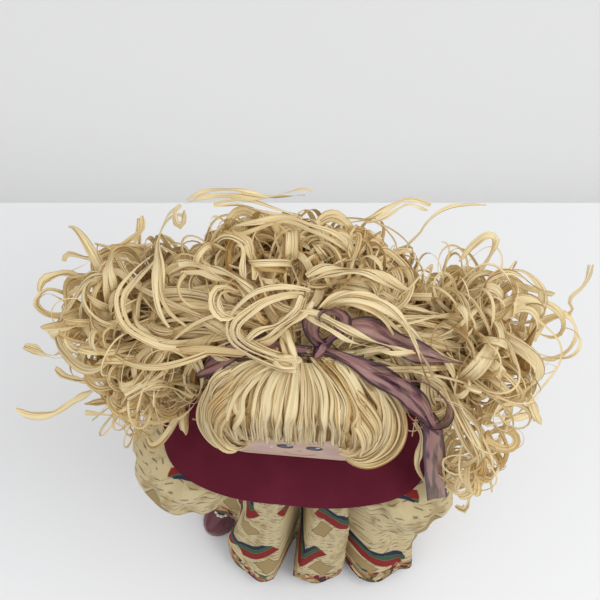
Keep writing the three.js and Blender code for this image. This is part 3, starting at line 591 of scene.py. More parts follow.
def weave(paint: Paint, place: Wire, threads: float) -> Wire:
    """Makes the height of a plain weave.

    Args:
        paint: The material's nodes.
        place: The point of the flat cut.
        threads: The number of threads in a metre.

    Returns:
        The height.
    """
    x, y, _ = paint.parts(place)
    warp = (x * threads * math.pi).sine()
    weft = (y * threads * math.pi).sine()
    slub = paint.noise(paint.stretch(place, (1.0, 9.0, 1.0)), 260.0, 2.0)
    return warp * weft * 0.35 + slub


@dataclass(frozen=True)
class PlainClothFinish(Finish):
    """Deep burgundy cotton with soft lighter patches, painted highlights on its gentle undulations.
    """

    name: str = "burgundy_cotton"
    colour: Colour = (0.098, 0.0085, 0.021)
    lit: Colour = (0.128, 0.013, 0.03)
    threads: float = 2400.0

    def inputs(self, paint: Paint) -> Inputs:
        """Paints the weave and its lighter patches, which are painted highlights.

        Args:
            paint: The material's nodes.

        Returns:
            What goes into the surface.
        """
        place = paint.cut_place()
        height = weave(paint, place, self.threads)
        cloud = paint.noise(place, 24.0, 4.0)
        # Lighter patches that follow the same cloud as the bumps: painted highlights.
        colour = paint.mix(cloud.ease(0.35, 0.7), self.colour, self.lit)
        rough = paint.noise(place, 60.0) * 0.12 + 0.76
        normal = paint.bump(height + cloud * 2.0, 0.00018)
        more = {"Specular IOR Level": 0.12}
        return {"Base Color": colour, "Roughness": rough, "Normal": normal} | more


@dataclass(frozen=True)
class PrintFinish(Finish):
    """Cream cotton with a small country print: dashes, slanting bands and outlined patches.

    Its motifs sit in staggered cells of the flat cut, each turned and coloured by chance.
    """

    name: str = "printed_cotton"
    cream: Colour = (0.60, 0.495, 0.285)
    tan: Colour = (0.37, 0.27, 0.12)
    dash: Colour = (0.14, 0.11, 0.07)
    red: Colour = (0.235, 0.02, 0.018)
    green: Colour = (0.035, 0.10, 0.05)
    navy: Colour = (0.022, 0.028, 0.055)
    rust: Colour = (0.42, 0.15, 0.05)
    cell: Pair = (0.062, 0.080)
    border: float = 0.018
    upper: float = 0.26
    band_half: float = 0.029
    outline: float = 0.0009
    patch: tuple[Pair, Pair] = ((-0.012, 0.009), (-0.026, -0.004))
    rung: float = 0.0056
    dash_period: float = 0.0105
    threads: float = 2300.0

    @staticmethod
    def _band(wire: Wire, start: float, end: float, soft: float = 0.0005) -> Wire:
        """Returns 1 between two places, in metres."""
        return wire.ease(start - soft, start + soft) * (1 - wire.ease(end - soft, end + soft))

    def _motifs(self, paint: Paint, x: Wire, y: Wire, ground: Wire) -> Wire:
        """Lays a slanting band and an outlined patch in each cell, fewer of them on the sleeves.

        Args:
            paint: The material's nodes.
            x: The place across the flat cut.
            y: The place along it. The sleeves' cut lies above the skirt's.
            ground: The colour under the motifs.

        Returns:
            The colour with the motifs.
        """
        width, height = self.cell
        v = y.wrap(height)
        row = y - v
        shifted = x + row * 0.4
        u = shifted.wrap(width)
        corner = paint.node("ShaderNodeCombineXYZ", {}, {0: shifted - u, 1: row})
        settings = {"noise_dimensions": "3D"}
        chance = paint.node("ShaderNodeTexWhiteNoise", settings, {"Vector": corner}, "Color")
        first, second, third = paint.parts(chance)
        hand = (first > 0.8) * 2.0 - 1.0
        across = u - width / 2
        up = v - height / 2 + (second - 0.5) * 0.016
        along = across * 0.71 + up * hand * 0.7
        off = up * 0.71 - across * hand * 0.7
        shown = ((y < self.upper) + (third > 0.4)).ease(0.0, 1.0)
        inside = self._band(along, -self.band_half, self.band_half) * shown
        colour = ground
        marks = (0.002, 0.0125, 0.0175, 0.0235)
        for start, end, ink in zip(marks, marks[1:], (self.red, self.green, self.navy)):
            colour = paint.mix(self._band(off, start, end) * inside, colour, ink)
        (left, right), (low, high) = self.patch
        for grow, ink in ((self.outline, self.dash), (0.0, self.tan)):
            box = self._band(along, left - grow, right + grow)
            box = box * self._band(off, low - grow, high + grow)
            colour = paint.mix(box * shown * (third > 0.25), colour, ink)
        return colour

    def inputs(self, paint: Paint) -> Inputs:
        """Prints dashes, motifs and a border on the stained weave.

        Args:
            paint: The material's nodes.

        Returns:
            What goes into the surface.
        """
        place = paint.cut_place()
        x, y, _ = paint.parts(place)
        drift = paint.noise(place, 40.0, 2.0) * 0.014 - 0.007
        cloud = paint.noise(place, 62.0, 4.0)
        colour = paint.mix(cloud.ease(0.48, 0.64) * 0.75, self.cream, self.tan)

        line = y + drift
        slide = paint.noise(paint.stretch(place, (0.0, 1.0, 1.0)), 240.0, 0.0) * 0.05
        dash = (line.wrap(self.rung) < 0.0015) * ((x + slide).wrap(self.dash_period) < 0.0062)
        patchy = paint.noise(place, 85.0, 1.0).ease(0.42, 0.5)
        colour = paint.mix(dash * patchy * 0.75, colour, self.dash)
        colour = self._motifs(paint, x + drift * 0.5, y + drift * 0.6, colour)

        speckle = paint.node("ShaderNodeTexVoronoi", {}, {"Vector": place, "Scale": 210.0}, "Color")
        pick, warm, _ = paint.parts(speckle)
        stops = (self.tan, self.rust, self.green, self.cream, self.red, self.navy)
        patchwork = paint.ramp(pick, [(k / 5, ink) for k, ink in enumerate(stops)])
        colour = paint.mix((y < self.border) * warm.ease(0.1, 0.2), colour, patchwork)

        height = weave(paint, place, self.threads)
        normal = paint.bump(height, 0.00022)
        rough = cloud * 0.1 + 0.8
        more = {"Specular IOR Level": 0.2}
        return {"Base Color": colour, "Roughness": rough, "Normal": normal} | more


@dataclass(frozen=True)
class RaffiaFinish(Finish):
    """Dry straw-coloured leaf: fine lengthwise fibres, dark cracks with painted shade in them and a
    soft satin shine; deep leaves take darker tones as painted shade.
    """

    name: str = "natural_raffia"
    pale: Colour = (0.89, 0.775, 0.48)
    straw: Colour = (0.76, 0.61, 0.32)
    golden: Colour = (0.60, 0.42, 0.17)
    brown: Colour = (0.44, 0.24, 0.065)
    deep: Colour = (0.20, 0.09, 0.02)
    through: Colour = (0.86, 0.60, 0.24)

    def inputs(self, paint: Paint) -> Inputs:
        """Paints each leaf in its own tone, the darker tones being painted shade for deep leaves,
        with fibres, brown edges and cracks that hold painted shade.

        Args:
            paint: The material's nodes.

        Returns:
            What goes into the surface.
        """
        strand = paint.carried("strand")
        side = abs(paint.carried("side"))
        place = paint.cut_place()
        seed = strand * 40.0
        fibre = paint.noise(paint.stretch(place, (1.0, 0.02, 1.0)), 2600.0, 3.0, seed)
        crack = paint.noise(paint.stretch(place, (1.0, 0.012, 1.0)), 1250.0, 1.0, seed + 7.0)
        patch = paint.noise(place, 22.0, 2.0, seed)
        # Tones from pale to brown: the golden and brown end is painted shade, given to leaves that
        # lie deep in the hair.
        inks = (self.pale, self.pale, self.straw, self.golden, self.brown)
        tones = list(zip((0.0, 0.5, 0.8, 0.92, 1.0), inks))
        colour = paint.ramp(strand, tones)
        colour = paint.mix(patch.ease(0.5, 0.8) * 0.5, colour, self.golden)
        colour = paint.mix(fibre.ease(0.4, 0.75) * 0.42, colour, self.brown)
        colour = paint.mix(side.ease(0.78, 1.0) * 0.6, colour, self.brown)
        # The cracks are real splits in the leaf, painted near black with the shade that shows
        # through them.
        split = crack.ease(0.585, 0.635)
        colour = paint.mix(split * 0.85, colour, self.deep)
        height = fibre * 0.4 - split * 0.8
        normal = paint.bump(height, 0.0004, 0.6)
        rough = fibre * 0.2 + 0.45
        more = {"Specular IOR Level": 0.35}
        return {"Base Color": colour, "Roughness": rough, "Normal": normal} | more


@dataclass(frozen=True)
class UnderlayerFinish(Finish):
    """The shaded raffia deep inside the hair, seen only between leaves."""

    name: str = "raffia_underlayer"
    colour: Colour = (0.48, 0.29, 0.085)
    shade: Colour = (0.20, 0.095, 0.02)

    def inputs(self, paint: Paint) -> Inputs:
        """Paints fibres that lie in shade.

        Args:
            paint: The material's nodes.

        Returns:
            What goes into the surface.
        """
        place = paint.place()
        warp = paint.noise(place, 30.0, 2.0)
        fibre = paint.noise(paint.stretch(place, (1.0, 0.12, 0.5)), 340.0, 2.0, warp * 3.0)
        colour = paint.mix(fibre.ease(0.35, 0.65), self.shade, self.colour)
        normal = paint.bump(fibre, 0.003)
        return {"Base Color": colour, "Roughness": 0.8, "Normal": normal}


@dataclass(frozen=True)
class OrganzaFinish(Finish):
    """Sheer plum ribbon with a dense dark edge on both sides."""

    name: str = "plum_organza"
    sheer: Colour = (0.06, 0.014, 0.035)
    light: Colour = (0.34, 0.17, 0.165)
    edge: Colour = (0.035, 0.006, 0.02)
    half_width: float = 0.008
    edge_width: float = 0.0014

    def inputs(self, paint: Paint) -> Inputs:
        """Paints the sheer middle with its streaks and the painted highlights and shade of its
        folds, and the two dense edges.

        Args:
            paint: The material's nodes.

        Returns:
            What goes into the surface.
        """
        place = paint.cut_place()
        x, _, _ = paint.parts(place)
        inner = self.half_width - self.edge_width
        rim = abs(x).ease(inner - 0.0003, inner)
        streak = paint.noise(paint.stretch(place, (1.0, 0.05, 1.0)), 700.0, 2.0)
        fold = paint.noise(paint.stretch(place, (1.0, 0.12, 1.0)), 190.0, 2.0)
        # Lighter and darker bands along the folds: painted highlights and painted shade.
        colour = paint.mix(fold.ease(0.45, 0.56), self.sheer, self.light)
        colour = paint.mix(rim, colour, self.edge)
        alpha = rim * 0.16 + streak * 0.14 + 0.70
        rough = streak * 0.2 + 0.32
        normal = paint.bump(streak + fold, 0.0006, 0.6)
        more = {"Alpha": alpha}
        return {"Base Color": colour, "Roughness": rough, "Normal": normal} | more


def make_object(
    name: str,
    points: Array,
    faces: Sequence[Sequence[int]],
    material: Material,
    cut: Array | None = None,
    numbers: Mapping[str, Array] | None = None,
) -> Thing:
    """Makes a mesh object.

    Args:
        name: The piece's name.
        points: Its vertices in millimetres.
        faces: Its faces.
        material: Its material.
        cut: For each vertex, its place on the flat cut in metres.
        numbers: Further numbers for each vertex, by name.

    Returns:
        The object, linked to the scene.
    """
    mesh = bpy.data.meshes.new(name)
    mesh.from_pydata((points * MM).tolist(), [], faces)
    if cut is not None:
        layer = mesh.uv_layers.new(name="cut")
        corners = np.zeros(len(mesh.loops), np.int32)
        mesh.loops.foreach_get("vertex_index", corners)
        layer.data.foreach_set("uv", cut[corners].astype(np.float32).ravel())
    for key, values in (numbers or {}).items():
        store = mesh.attributes.new(key, "FLOAT", "POINT")
        store.data.foreach_set("value", values.astype(np.float32))
    mesh.shade_smooth()
    mesh.materials.append(material)
    thing = bpy.data.objects.new(name, mesh)
    bpy.context.scene.collection.objects.link(thing)
    return thing


def net(rows: int, columns: int) -> Faces:
    """Returns the faces of an open net of points, laid out row by row."""
    starts = (i * columns + k for i in range(rows - 1) for k in range(columns - 1))
    return [(a, a + 1, a + columns + 1, a + columns) for a in starts]


def globe(rows: int, columns: int) -> tuple[Array, Array, Array, Faces]:
    """Lays a net over a ball of radius 1.

    Args:
        rows: The number of bands from its top to its foot.
        columns: The number of points round it.

    Returns:
        The points, each one's angle from the top and round the ball, and the faces.
    """
    down = math.pi * np.arange(rows + 1) / rows
    round_it = 2 * math.pi * np.arange(columns) / columns
    polar, around = (grid.ravel() for grid in np.meshgrid(down, round_it, indexing="ij"))
    points = [np.sin(polar) * np.cos(around), np.sin(polar) * np.sin(around), np.cos(polar)]
    faces = []
    for i in range(rows):
        for k in range(columns):
            a, b = i * columns + k, i * columns + (k + 1) % columns
            faces.append((a, a + columns, b + columns, b))
    return np.stack(points, axis=1), polar, around, faces


@dataclass
class Leaf:
    """One leaf of raffia that follows a line."""

    line: Array
    across: Array
    width: float
    roll: float = 1.3
    ends: Pair = (0.8, 0.35)
    crease: float = 0.07
    swell: float = 0.13
    parts: int = 1
    tones: Pair = (0.0, 0.86)

    def split(self, rng: Random) -> list[Leaf]:
        """Splits the leaf lengthwise into parts that drift a little apart.

        Args:
            rng: The source of their differences.

        Returns:
            The parts, or the leaf itself.
        """
        if self.parts == 1:
            return [self]
        share = np.linspace(0, 1, len(self.line))[:, None]
        across = unit(self.across)
        out = np.cross(unit(np.gradient(self.line, axis=0)), across)
        made = []
        for k in range(self.parts):
            place = (k + 0.5) / self.parts - 0.5
            apart = 0.3 * sway(rng, share, 3, 8)
            lift = 0.14 * sway(rng, share, 3, 8)
            shift = (place * 1.15 + apart / self.parts) * across + lift * out
            line = self.line + self.width * shift
            count = max(8, int(len(line) * rng.uniform(0.88, 1)))
            width = self.width / self.parts * rng.uniform(0.75, 1.3)
            along = unit(np.gradient(line, axis=0))
            turned = turn(across, along, rng.normal(0, 0.25) + 1.5 * apart[:, 0])
            line, turned = line[:count], turned[:count]
            made.append(replace(self, line=line, across=turned, width=width, parts=1))
        return made


@dataclass
class Sheaf:
    """Leaves of raffia that are made as one piece."""

    rng: Random
    pleats: int = 5
    leaves: list[Leaf] = field(default_factory=list)

    def _section(self, leaf: Leaf, count: int) -> tuple[Array, Array, Array]:
        """Lays out the leaf's rolled and pleated section.

        Args:
            leaf: The leaf.
            count: The number of points along it.

        Returns:
            For each point and pleat, the share of the width, the place across and the height.
        """
        rng = self.rng
        share = np.linspace(0, 1, count)[:, None]
        swell = 1 + leaf.swell * sway(rng, share, 3, 9)
        swell = swell * (1 + 0.5 * leaf.swell * sway(rng, share, 12, 26))
        root, tip = leaf.ends
        ends = lerp(root, 1, smooth(share * 9)) * lerp(tip, 1, smooth((1 - share) * 7))
        width = leaf.width * swell * ends
        roll = leaf.roll * (1 + 0.35 * sway(rng, share, 4, 11))
        s = np.linspace(-1, 1, self.pleats + 1)[None, :]
        s[:, 1:-1] += rng.uniform(-0.13, 0.13, (1, self.pleats - 1))
        radius = width / np.maximum(roll, 0.2)
        x = radius * np.sin(roll * s / 2)
        edges = self.pleats + 1
        sign = np.where(np.arange(edges) % 2, 1.0, -1.0) * rng.uniform(0.2, 1.6, edges)
        breath = 0.6 + 0.4 * np.sin(rng.uniform(0, 6.3, edges) + share * rng.uniform(3, 12))
        y = radius * (1 - np.cos(roll * s / 2)) + leaf.crease * width * sign * breath
        return np.broadcast_to(s, x.shape), x, y

    def build(self, name: str, material: Material) -> Thing:
        """Makes the mesh of all leaves, each with sharp pleats along it.

        Args:
            name: The piece's name.
            material: Its material.

        Returns:
            The piece.
        """
        fold = np.arange(self.pleats + 1).repeat(2)[1:-1]
        wide = len(fold)
        points: list[Array] = []
        faces: list[Array] = []
        cuts: list[Array] = []
        tones: list[Array] = []
        sides: list[Array] = []
        base = 0
        for leaf in (part for whole in self.leaves for part in whole.split(self.rng)):
            count = len(leaf.line)
            along = unit(np.gradient(leaf.line, axis=0))
            across = squared(leaf.across, along)
            out = np.cross(along, across)
            s, x, y = (values[:, fold] for values in self._section(leaf, count))
            grid = leaf.line[:, None] + x[..., None] * across[:, None] + y[..., None] * out[:, None]
            points.append(grid.reshape(-1, 3))
            v = np.broadcast_to(distances(leaf.line)[:, None], x.shape)
            cuts.append(np.stack([s * leaf.width / 2, v], axis=-1).reshape(-1, 2) * MM)
            tones.append(np.full(count * wide, self.rng.uniform(*leaf.tones)))
            sides.append(s.reshape(-1))
            rows, pleats = np.meshgrid(np.arange(count - 1), np.arange(self.pleats), indexing="ij")
            first = (base + rows * wide + 2 * pleats).reshape(-1, 1)
            faces.append(first + np.array([[0, 1, wide + 1, wide]]))
            base += count * wide
        numbers = {"strand": np.concatenate(tones), "side": np.concatenate(sides)}
        quads = np.concatenate(faces).tolist()
        cut = np.concatenate(cuts)
        return make_object(name, np.concatenate(points), quads, material, cut, numbers)


def twisting_across(line: Array, rng: Random, lean: float) -> Array:
    """Gives a listed leaf a width that turns slowly along it and mostly faces the camera.

    Args:
        line: The leaf's line.
        rng: The source of its turns.
        lean: The mean angle from lying flat, in radians.

    Returns:
        The directions of its width.
    """
    along = unit(np.gradient(line, axis=0))
    side = unit(np.cross(along, TO_CAMERA[None, :]))
    up = np.cross(side, along)
    share = np.linspace(0, 1, len(line))
    angle = rng.normal(0, lean) + 0.95 * sway(rng, share, 3, 9)
    return side * np.cos(angle)[:, None] + up * np.sin(angle)[:, None]


@dataclass
class Head:
    """The head block's place, which the hair lies round."""

    half_width: float = 49.0
    half_depth: float = 48.0
    foot: float = 330.0
    top: float = 440.0
    gather: float = 453.0

    def push_out(self, points: Array, margin: float) -> Array:
        """Moves points that lie in the block to its nearest side or top.

        Args:
            points: The points, which are changed in place.
            margin: How far outside the block they have to stay.

        Returns:
            The points.
        """
        place = np.column_stack([np.abs(points[:, :2]), points[:, 2]])
        gaps = np.array([self.half_width, self.half_depth, self.top]) + margin - place
        inside = (gaps > 0).all(axis=1) & (points[:, 2] > self.foot - margin)
        least = np.argmin(gaps, axis=1)
        for k in (0, 1):
            rows = inside & (least == k)
            points[rows, k] += np.where(points[rows, k] < 0, -1, 1) * gaps[rows, k]
        rows = inside & (least == 2)
        points[rows, 2] += gaps[rows, 2]
        return points


@dataclass(frozen=True)
class Growth:
    """How one kind of leaf grows in a mass: lengths in millimetres, rolls in radians.

    Reach is how far out it may go, as a share of the mass, and skin how strongly it is
    drawn outwards.
    """

    count: int
    width: Pair
    radius: Pair = (12.0, 32.0)
    length: Pair = (90.0, 190.0)
    reach: Pair = (0.7, 1.0)
    roll: Pair = (0.2, 1.3)
    skin: float = 0.0
    twist: float = 0.014
    parts: int = 1
    tones: Pair = (0.1, 0.9)


FILL = Growth(64, (3.0, 8.5), (15.0, 40.0), reach=(0.58, 0.88))
SPARSE = Growth(46, (3.0, 8.0), (15.0, 40.0), reach=(0.5, 0.85))
LONG = Growth(14, (8.0, 13.0), (22.0, 58.0), (110.0, 230.0), (0.66, 0.86), (0.15, 0.6), 0.14)
PARTED = replace(LONG, twist=0.008, parts=2)
BROAD = replace(
    LONG, count=22, width=(7.0, 13.0), reach=(0.7, 0.9), roll=(0.15, 0.5), twist=0.006,
    tones=(0.05, 0.72),
)
# Leaves deep in a mass take golden to brown tones: painted shade.
INNER = Growth(
    44, (4.0, 7.0), (18.0, 40.0), (60.0, 120.0), (0.35, 0.6), (0.2, 0.8), tones=(0.78, 0.94)
)
LOOPS = Growth(20, (2.2, 5.0), (14.0, 27.0), (130.0, 230.0), (0.88, 1.14), (0.2, 0.9), 0.1)
WISPS = Growth(34, (0.7, 2.0), (14.0, 60.0), (90.0, 200.0), (0.85, 1.16), (0.3, 1.2), 0.12)


@dataclass
class Tangle:
    """A mass of leaves that leave the gather and curl through a rounded space.

    Homing is how strongly a leaf first heads for its goal. From the share rim of its reach
    on, pull draws it back, and over the last stretch above the floor, the cushion, it is
    lifted.
    """

    name: str
    centre: Point
    halves: Point
    root: Point
    root_spread: Point
    kinds: tuple[Growth, ...] = (FILL, BROAD, LOOPS, WISPS)
    floor: float = 300.0
    core: Point = (0.62, 0.74, 0.8)
    core_shift: float = 0.0
    # Scales the leaves' tones; below 1 the mass is painted paler, as painted light.
    brown: float = 1.0
    step: float = 4.5
    homing: float = 0.22
    rim: float = 0.86
    pull: float = 0.42
    sag: float = 0.012
    cushion: float = 12.0
    clearance: float = 2.5

    def grow(self, rng: Random, head: Head) -> list[Leaf]:
        """Grows every kind of leaf of the mass.

        Args:
            rng: The source of their differences.
            head: The block that they stay out of.

        Returns:
            The leaves.
        """
        return [leaf for kind in self.kinds for leaf in self._grow(kind, rng, head)]

    def _grow(self, kind: Growth, rng: Random, head: Head) -> list[Leaf]:
        """Lets the leaves of one kind grow step by step, all side by side.

        Each leaf heads for a goal inside the mass, bends more and more, and is turned back
        where it would leave the mass, fall below the floor or enter the block.

        Args:
            kind: How they grow.
            rng: The source of their differences.
            head: The block that they stay out of.

        Returns:
            The leaves.
        """
        n = kind.count
        centre, halves = np.array(self.centre), np.array(self.halves)
        start = np.array(self.root) + rng.normal(0, 1, (n, 3)) * np.array(self.root_spread)
        aim = unit(rng.normal(0, 1, (n, 3))) * rng.uniform(0.35, 1.0, (n, 1)) ** 0.5
        goal = centre + aim * halves * kind.reach[0]
        gap = np.linalg.norm(goal - start, axis=1)
        travel = gap * rng.uniform(0.9, 1.3, n)
        length = travel + rng.uniform(*kind.length, n)
        along = unit(unit(goal - start) + np.array([0, 0, 0.5]) + rng.normal(0, 0.35, (n, 3)))
        across = unit(np.cross(along, unit(rng.normal(0, 1, (n, 3)))))
        bend = rng.choice([-1.0, 1.0], n) / rng.uniform(*kind.radius, n)
        wave = rng.uniform(60, 170, n)
        phase = rng.uniform(0, 6.3, n)
        twist = rng.normal(0, kind.twist, n)
        reach = rng.uniform(*kind.reach, n)
        at = head.push_out(start.copy(), 3)
        trail, widths = [at.copy()], [across.copy()]
        for i in range(int(length.max() / self.step)):
            s = i * self.step
            curl = smooth((s - 0.15 * travel) / (0.7 * travel))
            kappa = bend * lerp(0.3, 1.0, curl) * (1 + 0.45 * np.sin(phase + s * 6.3 / wave))
            along = turn(along, across, kappa * self.step)
            across = turn(across, along, (twist + 0.012 * np.sin(phase * 2 + s / 37)) * self.step)
            steer = unit(goal - at) * (self.homing * (1 - curl))[:, None]
            place = (at - centre) / halves
            far = np.linalg.norm(place, axis=1)
            outward = unit(place / halves)
            pull = np.clip((far - reach * self.rim) / 0.14, 0, 1) * curl
            push = np.clip((reach * 0.8 - far) / 0.3, 0, 1) * kind.skin
            steer += outward * (push - self.pull * pull)[:, None]
            low = np.clip((self.floor + self.cushion - at[:, 2]) / self.cushion, 0, 1)
            steer[:, 2] += 0.5 * low - self.sag
            along = unit(along + steer)
            across = squared(across, along)
            at = head.push_out(at + along * self.step, self.clearance)
            at[:, 2] = np.maximum(at[:, 2], self.floor)
            trail.append(at.copy())
            widths.append(across.copy())
        lines, sides = np.stack(trail, axis=1), np.stack(widths, axis=1)
        leaves = []
        for k in range(n):
            last = max(8, int(length[k] / self.step))
            ends = (0.8, rng.uniform(0.2, 0.9))
            line = eased(lines[k, :last], 2)
            ahead = unit(np.gradient(line, axis=0))
            tilt = 0.55 * sway(rng, np.linspace(0, 1, last), 4, 11)
            across = turn(sides[k, :last], ahead, tilt)
            width, roll = rng.uniform(*kind.width), rng.uniform(*kind.roll)
            tones = (kind.tones[0] * self.brown, kind.tones[1] * self.brown)
            leaves.append(Leaf(line, across, width, roll, ends, 0.07, 0.2, kind.parts, tones))
        return leaves

    def underlayer(self, material: Material) -> Thing:
        """Makes the shaded core that shows between the leaves.

        Args:
            material: Its material.

        Returns:
            The piece.
        """
        points, _, _, faces = globe(14, 24)
        x, y, z = points.T
        lumps = 1 + 0.07 * np.sin(5 * x + 4 * z) + 0.07 * np.sin(6 * y - 5 * z)
        centre = np.array(self.centre) + np.array([self.core_shift, 0, 0])
        halves = np.array(self.halves) * np.array(self.core)
        points = centre + points * lumps[:, None] * halves
        return make_object(f"{self.name}_underlayer", points, faces, material)


# Leaves laid one by one: width in millimetres, and the points that each one runs through
RIGHT_LEAVES: Laid = (
    (5.5, ((-162, 40, 372), (-176, 45, 380), (-186, 44, 392), (-191, 38, 396), (-193, 34, 388),
           (-185, 32, 376), (-166, 38, 368))),
    (4.0, ((-191, 40, 400), (-189, 47, 404), (-181, 52, 406), (-172, 56, 402), (-162, 54, 396))),
    (4.5, ((-178, 66, 398), (-174, 70, 404), (-155, 66, 410), (-140, 73, 412), (-128, 76, 410),
           (-113, 72, 406))),
    (3.5, ((-118, 88, 440), (-118, 79, 436), (-127, 74, 428), (-137, 70, 418))),
    (6.5, ((-135, 64, 430), (-136, 47, 436), (-134, 32, 434), (-131, 20, 424))),
    (7.0, ((-93, 100, 430), (-99, 88, 440), (-102, 65, 450), (-99, 46, 456), (-96, 24, 456),
           (-89, 11, 448), (-76, 3, 440))),
    (5.5, ((-104, 58, 440), (-116, 41, 444), (-123, 25, 446), (-118, 8, 444), (-105, 0, 440),
           (-87, -4, 436), (-70, 1, 434), (-48, 12, 440))),
    (9.0, ((-116, 27, 424), (-111, 13, 430), (-99, 3, 436), (-82, 2, 440))),
    (7.0, ((-107, -25, 404), (-109, -14, 416), (-101, -7, 428), (-87, -5, 434), (-71, -10, 430),
           (-65, -19, 420), (-68, -30, 406), (-79, -37, 392), (-93, -40, 380))),
    (5.5, ((-90, -13, 424), (-105, -26, 414), (-118, -32, 400))),
    (4.0, ((-206, -35, 352), (-195, -38, 350), (-179, -36, 352), (-164, -27, 358),
           (-149, -20, 366))),
    (5.5, ((-203, 8, 372), (-192, 5, 370), (-180, 3, 370), (-168, 7, 374), (-152, 10, 380))),
    (4.5, ((-188, 25, 372), (-184, 18, 368), (-174, 16, 370), (-163, 19, 376), (-156, 26, 384))),
    (4.5, ((-154, -34, 356), (-134, -33, 352), (-125, -27, 354), (-138, -26, 362),
           (-152, -32, 372))),
    (3.5, ((-180, -4, 362), (-171, -10, 364), (-154, -14, 370))),
    (5.5, ((-117, -34, 408), (-100, -26, 414), (-83, -26, 414), (-66, -29, 406))),
)
CROWN_LEAVES: Laid = (
    (5.0, ((-86, 92, 458), (-74, 97, 464), (-56, 98, 468), (-34, 95, 470), (-18, 98, 470),
           (-4, 100, 470), (6, 96, 468))),
    (3.5, ((-91, 94, 450), (-94, 86, 452), (-92, 79, 448), (-88, 82, 446), (-88, 90, 450))),
    (6.0, ((-48, 67, 474), (-32, 69, 480), (-15, 72, 484), (1, 69, 484), (15, 67, 480),
           (27, 61, 472), (31, 54, 464))),
    (5.0, ((-67, 90, 462), (-49, 92, 466), (-38, 89, 468), (-25, 84, 470), (-9, 83, 470),
           (2, 82, 468))),
    (7.0, ((-84, 43, 458), (-67, 42, 464), (-51, 35, 470), (-37, 23, 472), (-31, 15, 466))),
    (8.0, ((-49, 64, 474), (-41, 54, 480), (-37, 39, 480), (-34, 28, 474))),
    (6.0, ((-42, 26, 470), (-53, 21, 478), (-56, 10, 482), (-50, 4, 478), (-40, 11, 468))),
    (7.0, ((2, 36, 474), (17, 41, 480), (35, 41, 482), (51, 39, 476), (69, 37, 464))),
    (9.5, ((10, 17, 474), (25, 23, 480), (40, 22, 478), (56, 17, 468), (70, 10, 454), (80, 4, 444),
           (90, -10, 430))),
    (5.0, ((79, 100, 462), (65, 100, 468), (59, 97, 470), (42, 88, 466), (27, 85, 460))),
    (1.8, ((66, 84, 430), (76, 94, 436), (79, 99, 440), (86, 106, 443), (95, 111, 445),
           (106, 113, 446), (120, 114, 446))),
    (5.9, ((-1, 12, 476), (10, 7, 480), (21, 2, 481), (33, -3, 479), (46, -5, 474), (62, -6, 468),
           (78, -3, 460))),
    (5.9, ((13, 16, 476), (21, 20, 481), (31, 22, 483), (44, 21, 482), (56, 17, 478), (66, 11, 473),
           (75, 2, 465), (83, -7, 453), (89, -15, 441), (95, -20, 430))),
)
LEFT_LEAVES: Laid = (
    (4.0, ((106, 81, 420), (113, 90, 428), (123, 98, 432), (130, 97, 428), (128, 90, 420),
           (122, 79, 412))),
    (4.5, ((128, 61, 402), (132, 70, 408), (141, 79, 414), (151, 80, 416), (161, 74, 414),
           (167, 67, 408), (167, 58, 400), (164, 51, 390), (163, 42, 382))),
    (5.5, ((203, 96, 400), (200, 85, 402), (195, 76, 402), (187, 67, 400), (190, 60, 396),
           (179, 57, 390), (170, 52, 384), (164, 38, 378))),
    (3.5, ((152, 65, 400), (166, 63, 404), (178, 58, 402), (184, 52, 396), (184, 46, 390),
           (179, 44, 384), (171, 47, 380))),
    (3.0, ((183, 59, 398), (192, 52, 394), (195, 44, 388), (190, 35, 382), (181, 30, 376),
           (173, 30, 374))),
    (9.0, ((82, 27, 430), (100, 30, 434), (114, 26, 430), (126, 16, 422))),
    (5.0, ((156, 10, 382), (164, 4, 376), (168, -5, 368), (175, -15, 358))),
    (3.2, ((130, -5, 400), (141, -8, 396), (147, -14, 388), (149, -23, 378), (146, -31, 368),
           (139, -35, 360), (130, -39, 356))),
    (3.8, ((118, -26, 372), (125, -33, 366), (129, -39, 356), (128, -48, 344), (123, -54, 334),
           (113, -58, 328))),
    (3.6, ((88, 8, 440), (98, 2, 434), (105, -4, 424), (109, -11, 412), (109, -18, 400),
           (105, -26, 392))),
    (5.0, ((115, 21, 420), (116, 8, 416), (119, -2, 406), (125, -4, 398))),
    (3.6, ((84, -25, 372), (90, -32, 362), (90, -42, 348), (91, -48, 334), (98, -56, 322))),
    (4.0, ((131, -54, 330), (132, -64, 316), (130, -69, 302), (124, -66, 298))),
    (3.4, ((133, -28, 388), (149, -22, 386), (165, -14, 382))),
    (2.6, ((88, -2, 420), (101, -13, 404), (117, -26, 380), (127, -37, 356), (129, -47, 336),
           (123, -55, 318), (116, -58, 306))),
    (3.0, ((112, 10, 410), (125, 6, 404), (140, 0, 396), (149, -7, 386), (150, -17, 372),
           (146, -27, 358))),
    (4.5, ((155, 6, 392), (162, -1, 384), (168, -10, 376), (174, -17, 366))),
)
TIE_WRAPS: Laid = (
    (8.0, ((-9, 14, 462), (-12, 5, 467), (-8, -5, 468), (-3, -15, 463), (-1, -20, 456))),
    (5.0, ((-13, 10, 458), (-13, 1, 464), (-9, -9, 465), (-5, -17, 459))),
    (6.0, ((-2, -20, 461), (-10, -21, 463), (-15, -16, 462), (-16, -8, 458))),
    (6.5, ((2, -13, 458), (-5, -17, 464), (-14, -17, 464), (-20, -12, 459))),
)
BOW_LOOPS: Laid = (
    (12.0, ((0, -19, 459), (-11, -19, 462), (-23, -16, 465), (-35, -11, 467), (-42, -5, 469),
            (-42, 3, 473), (-34, 12, 477), (-25, 18, 480), (-12, 21, 482), (2, 21, 482),
            (12, 18, 480))),
    (11.0, ((3, 20, 480), (-1, 11, 478), (-9, 4, 475), (-19, -3, 472), (-29, -8, 468),
            (-35, -11, 464))),
    (5.0, ((-1, -14, 458), (-14, -13, 462), (-29, -8, 465), (-39, -3, 467), (-40, 3, 470))),
)


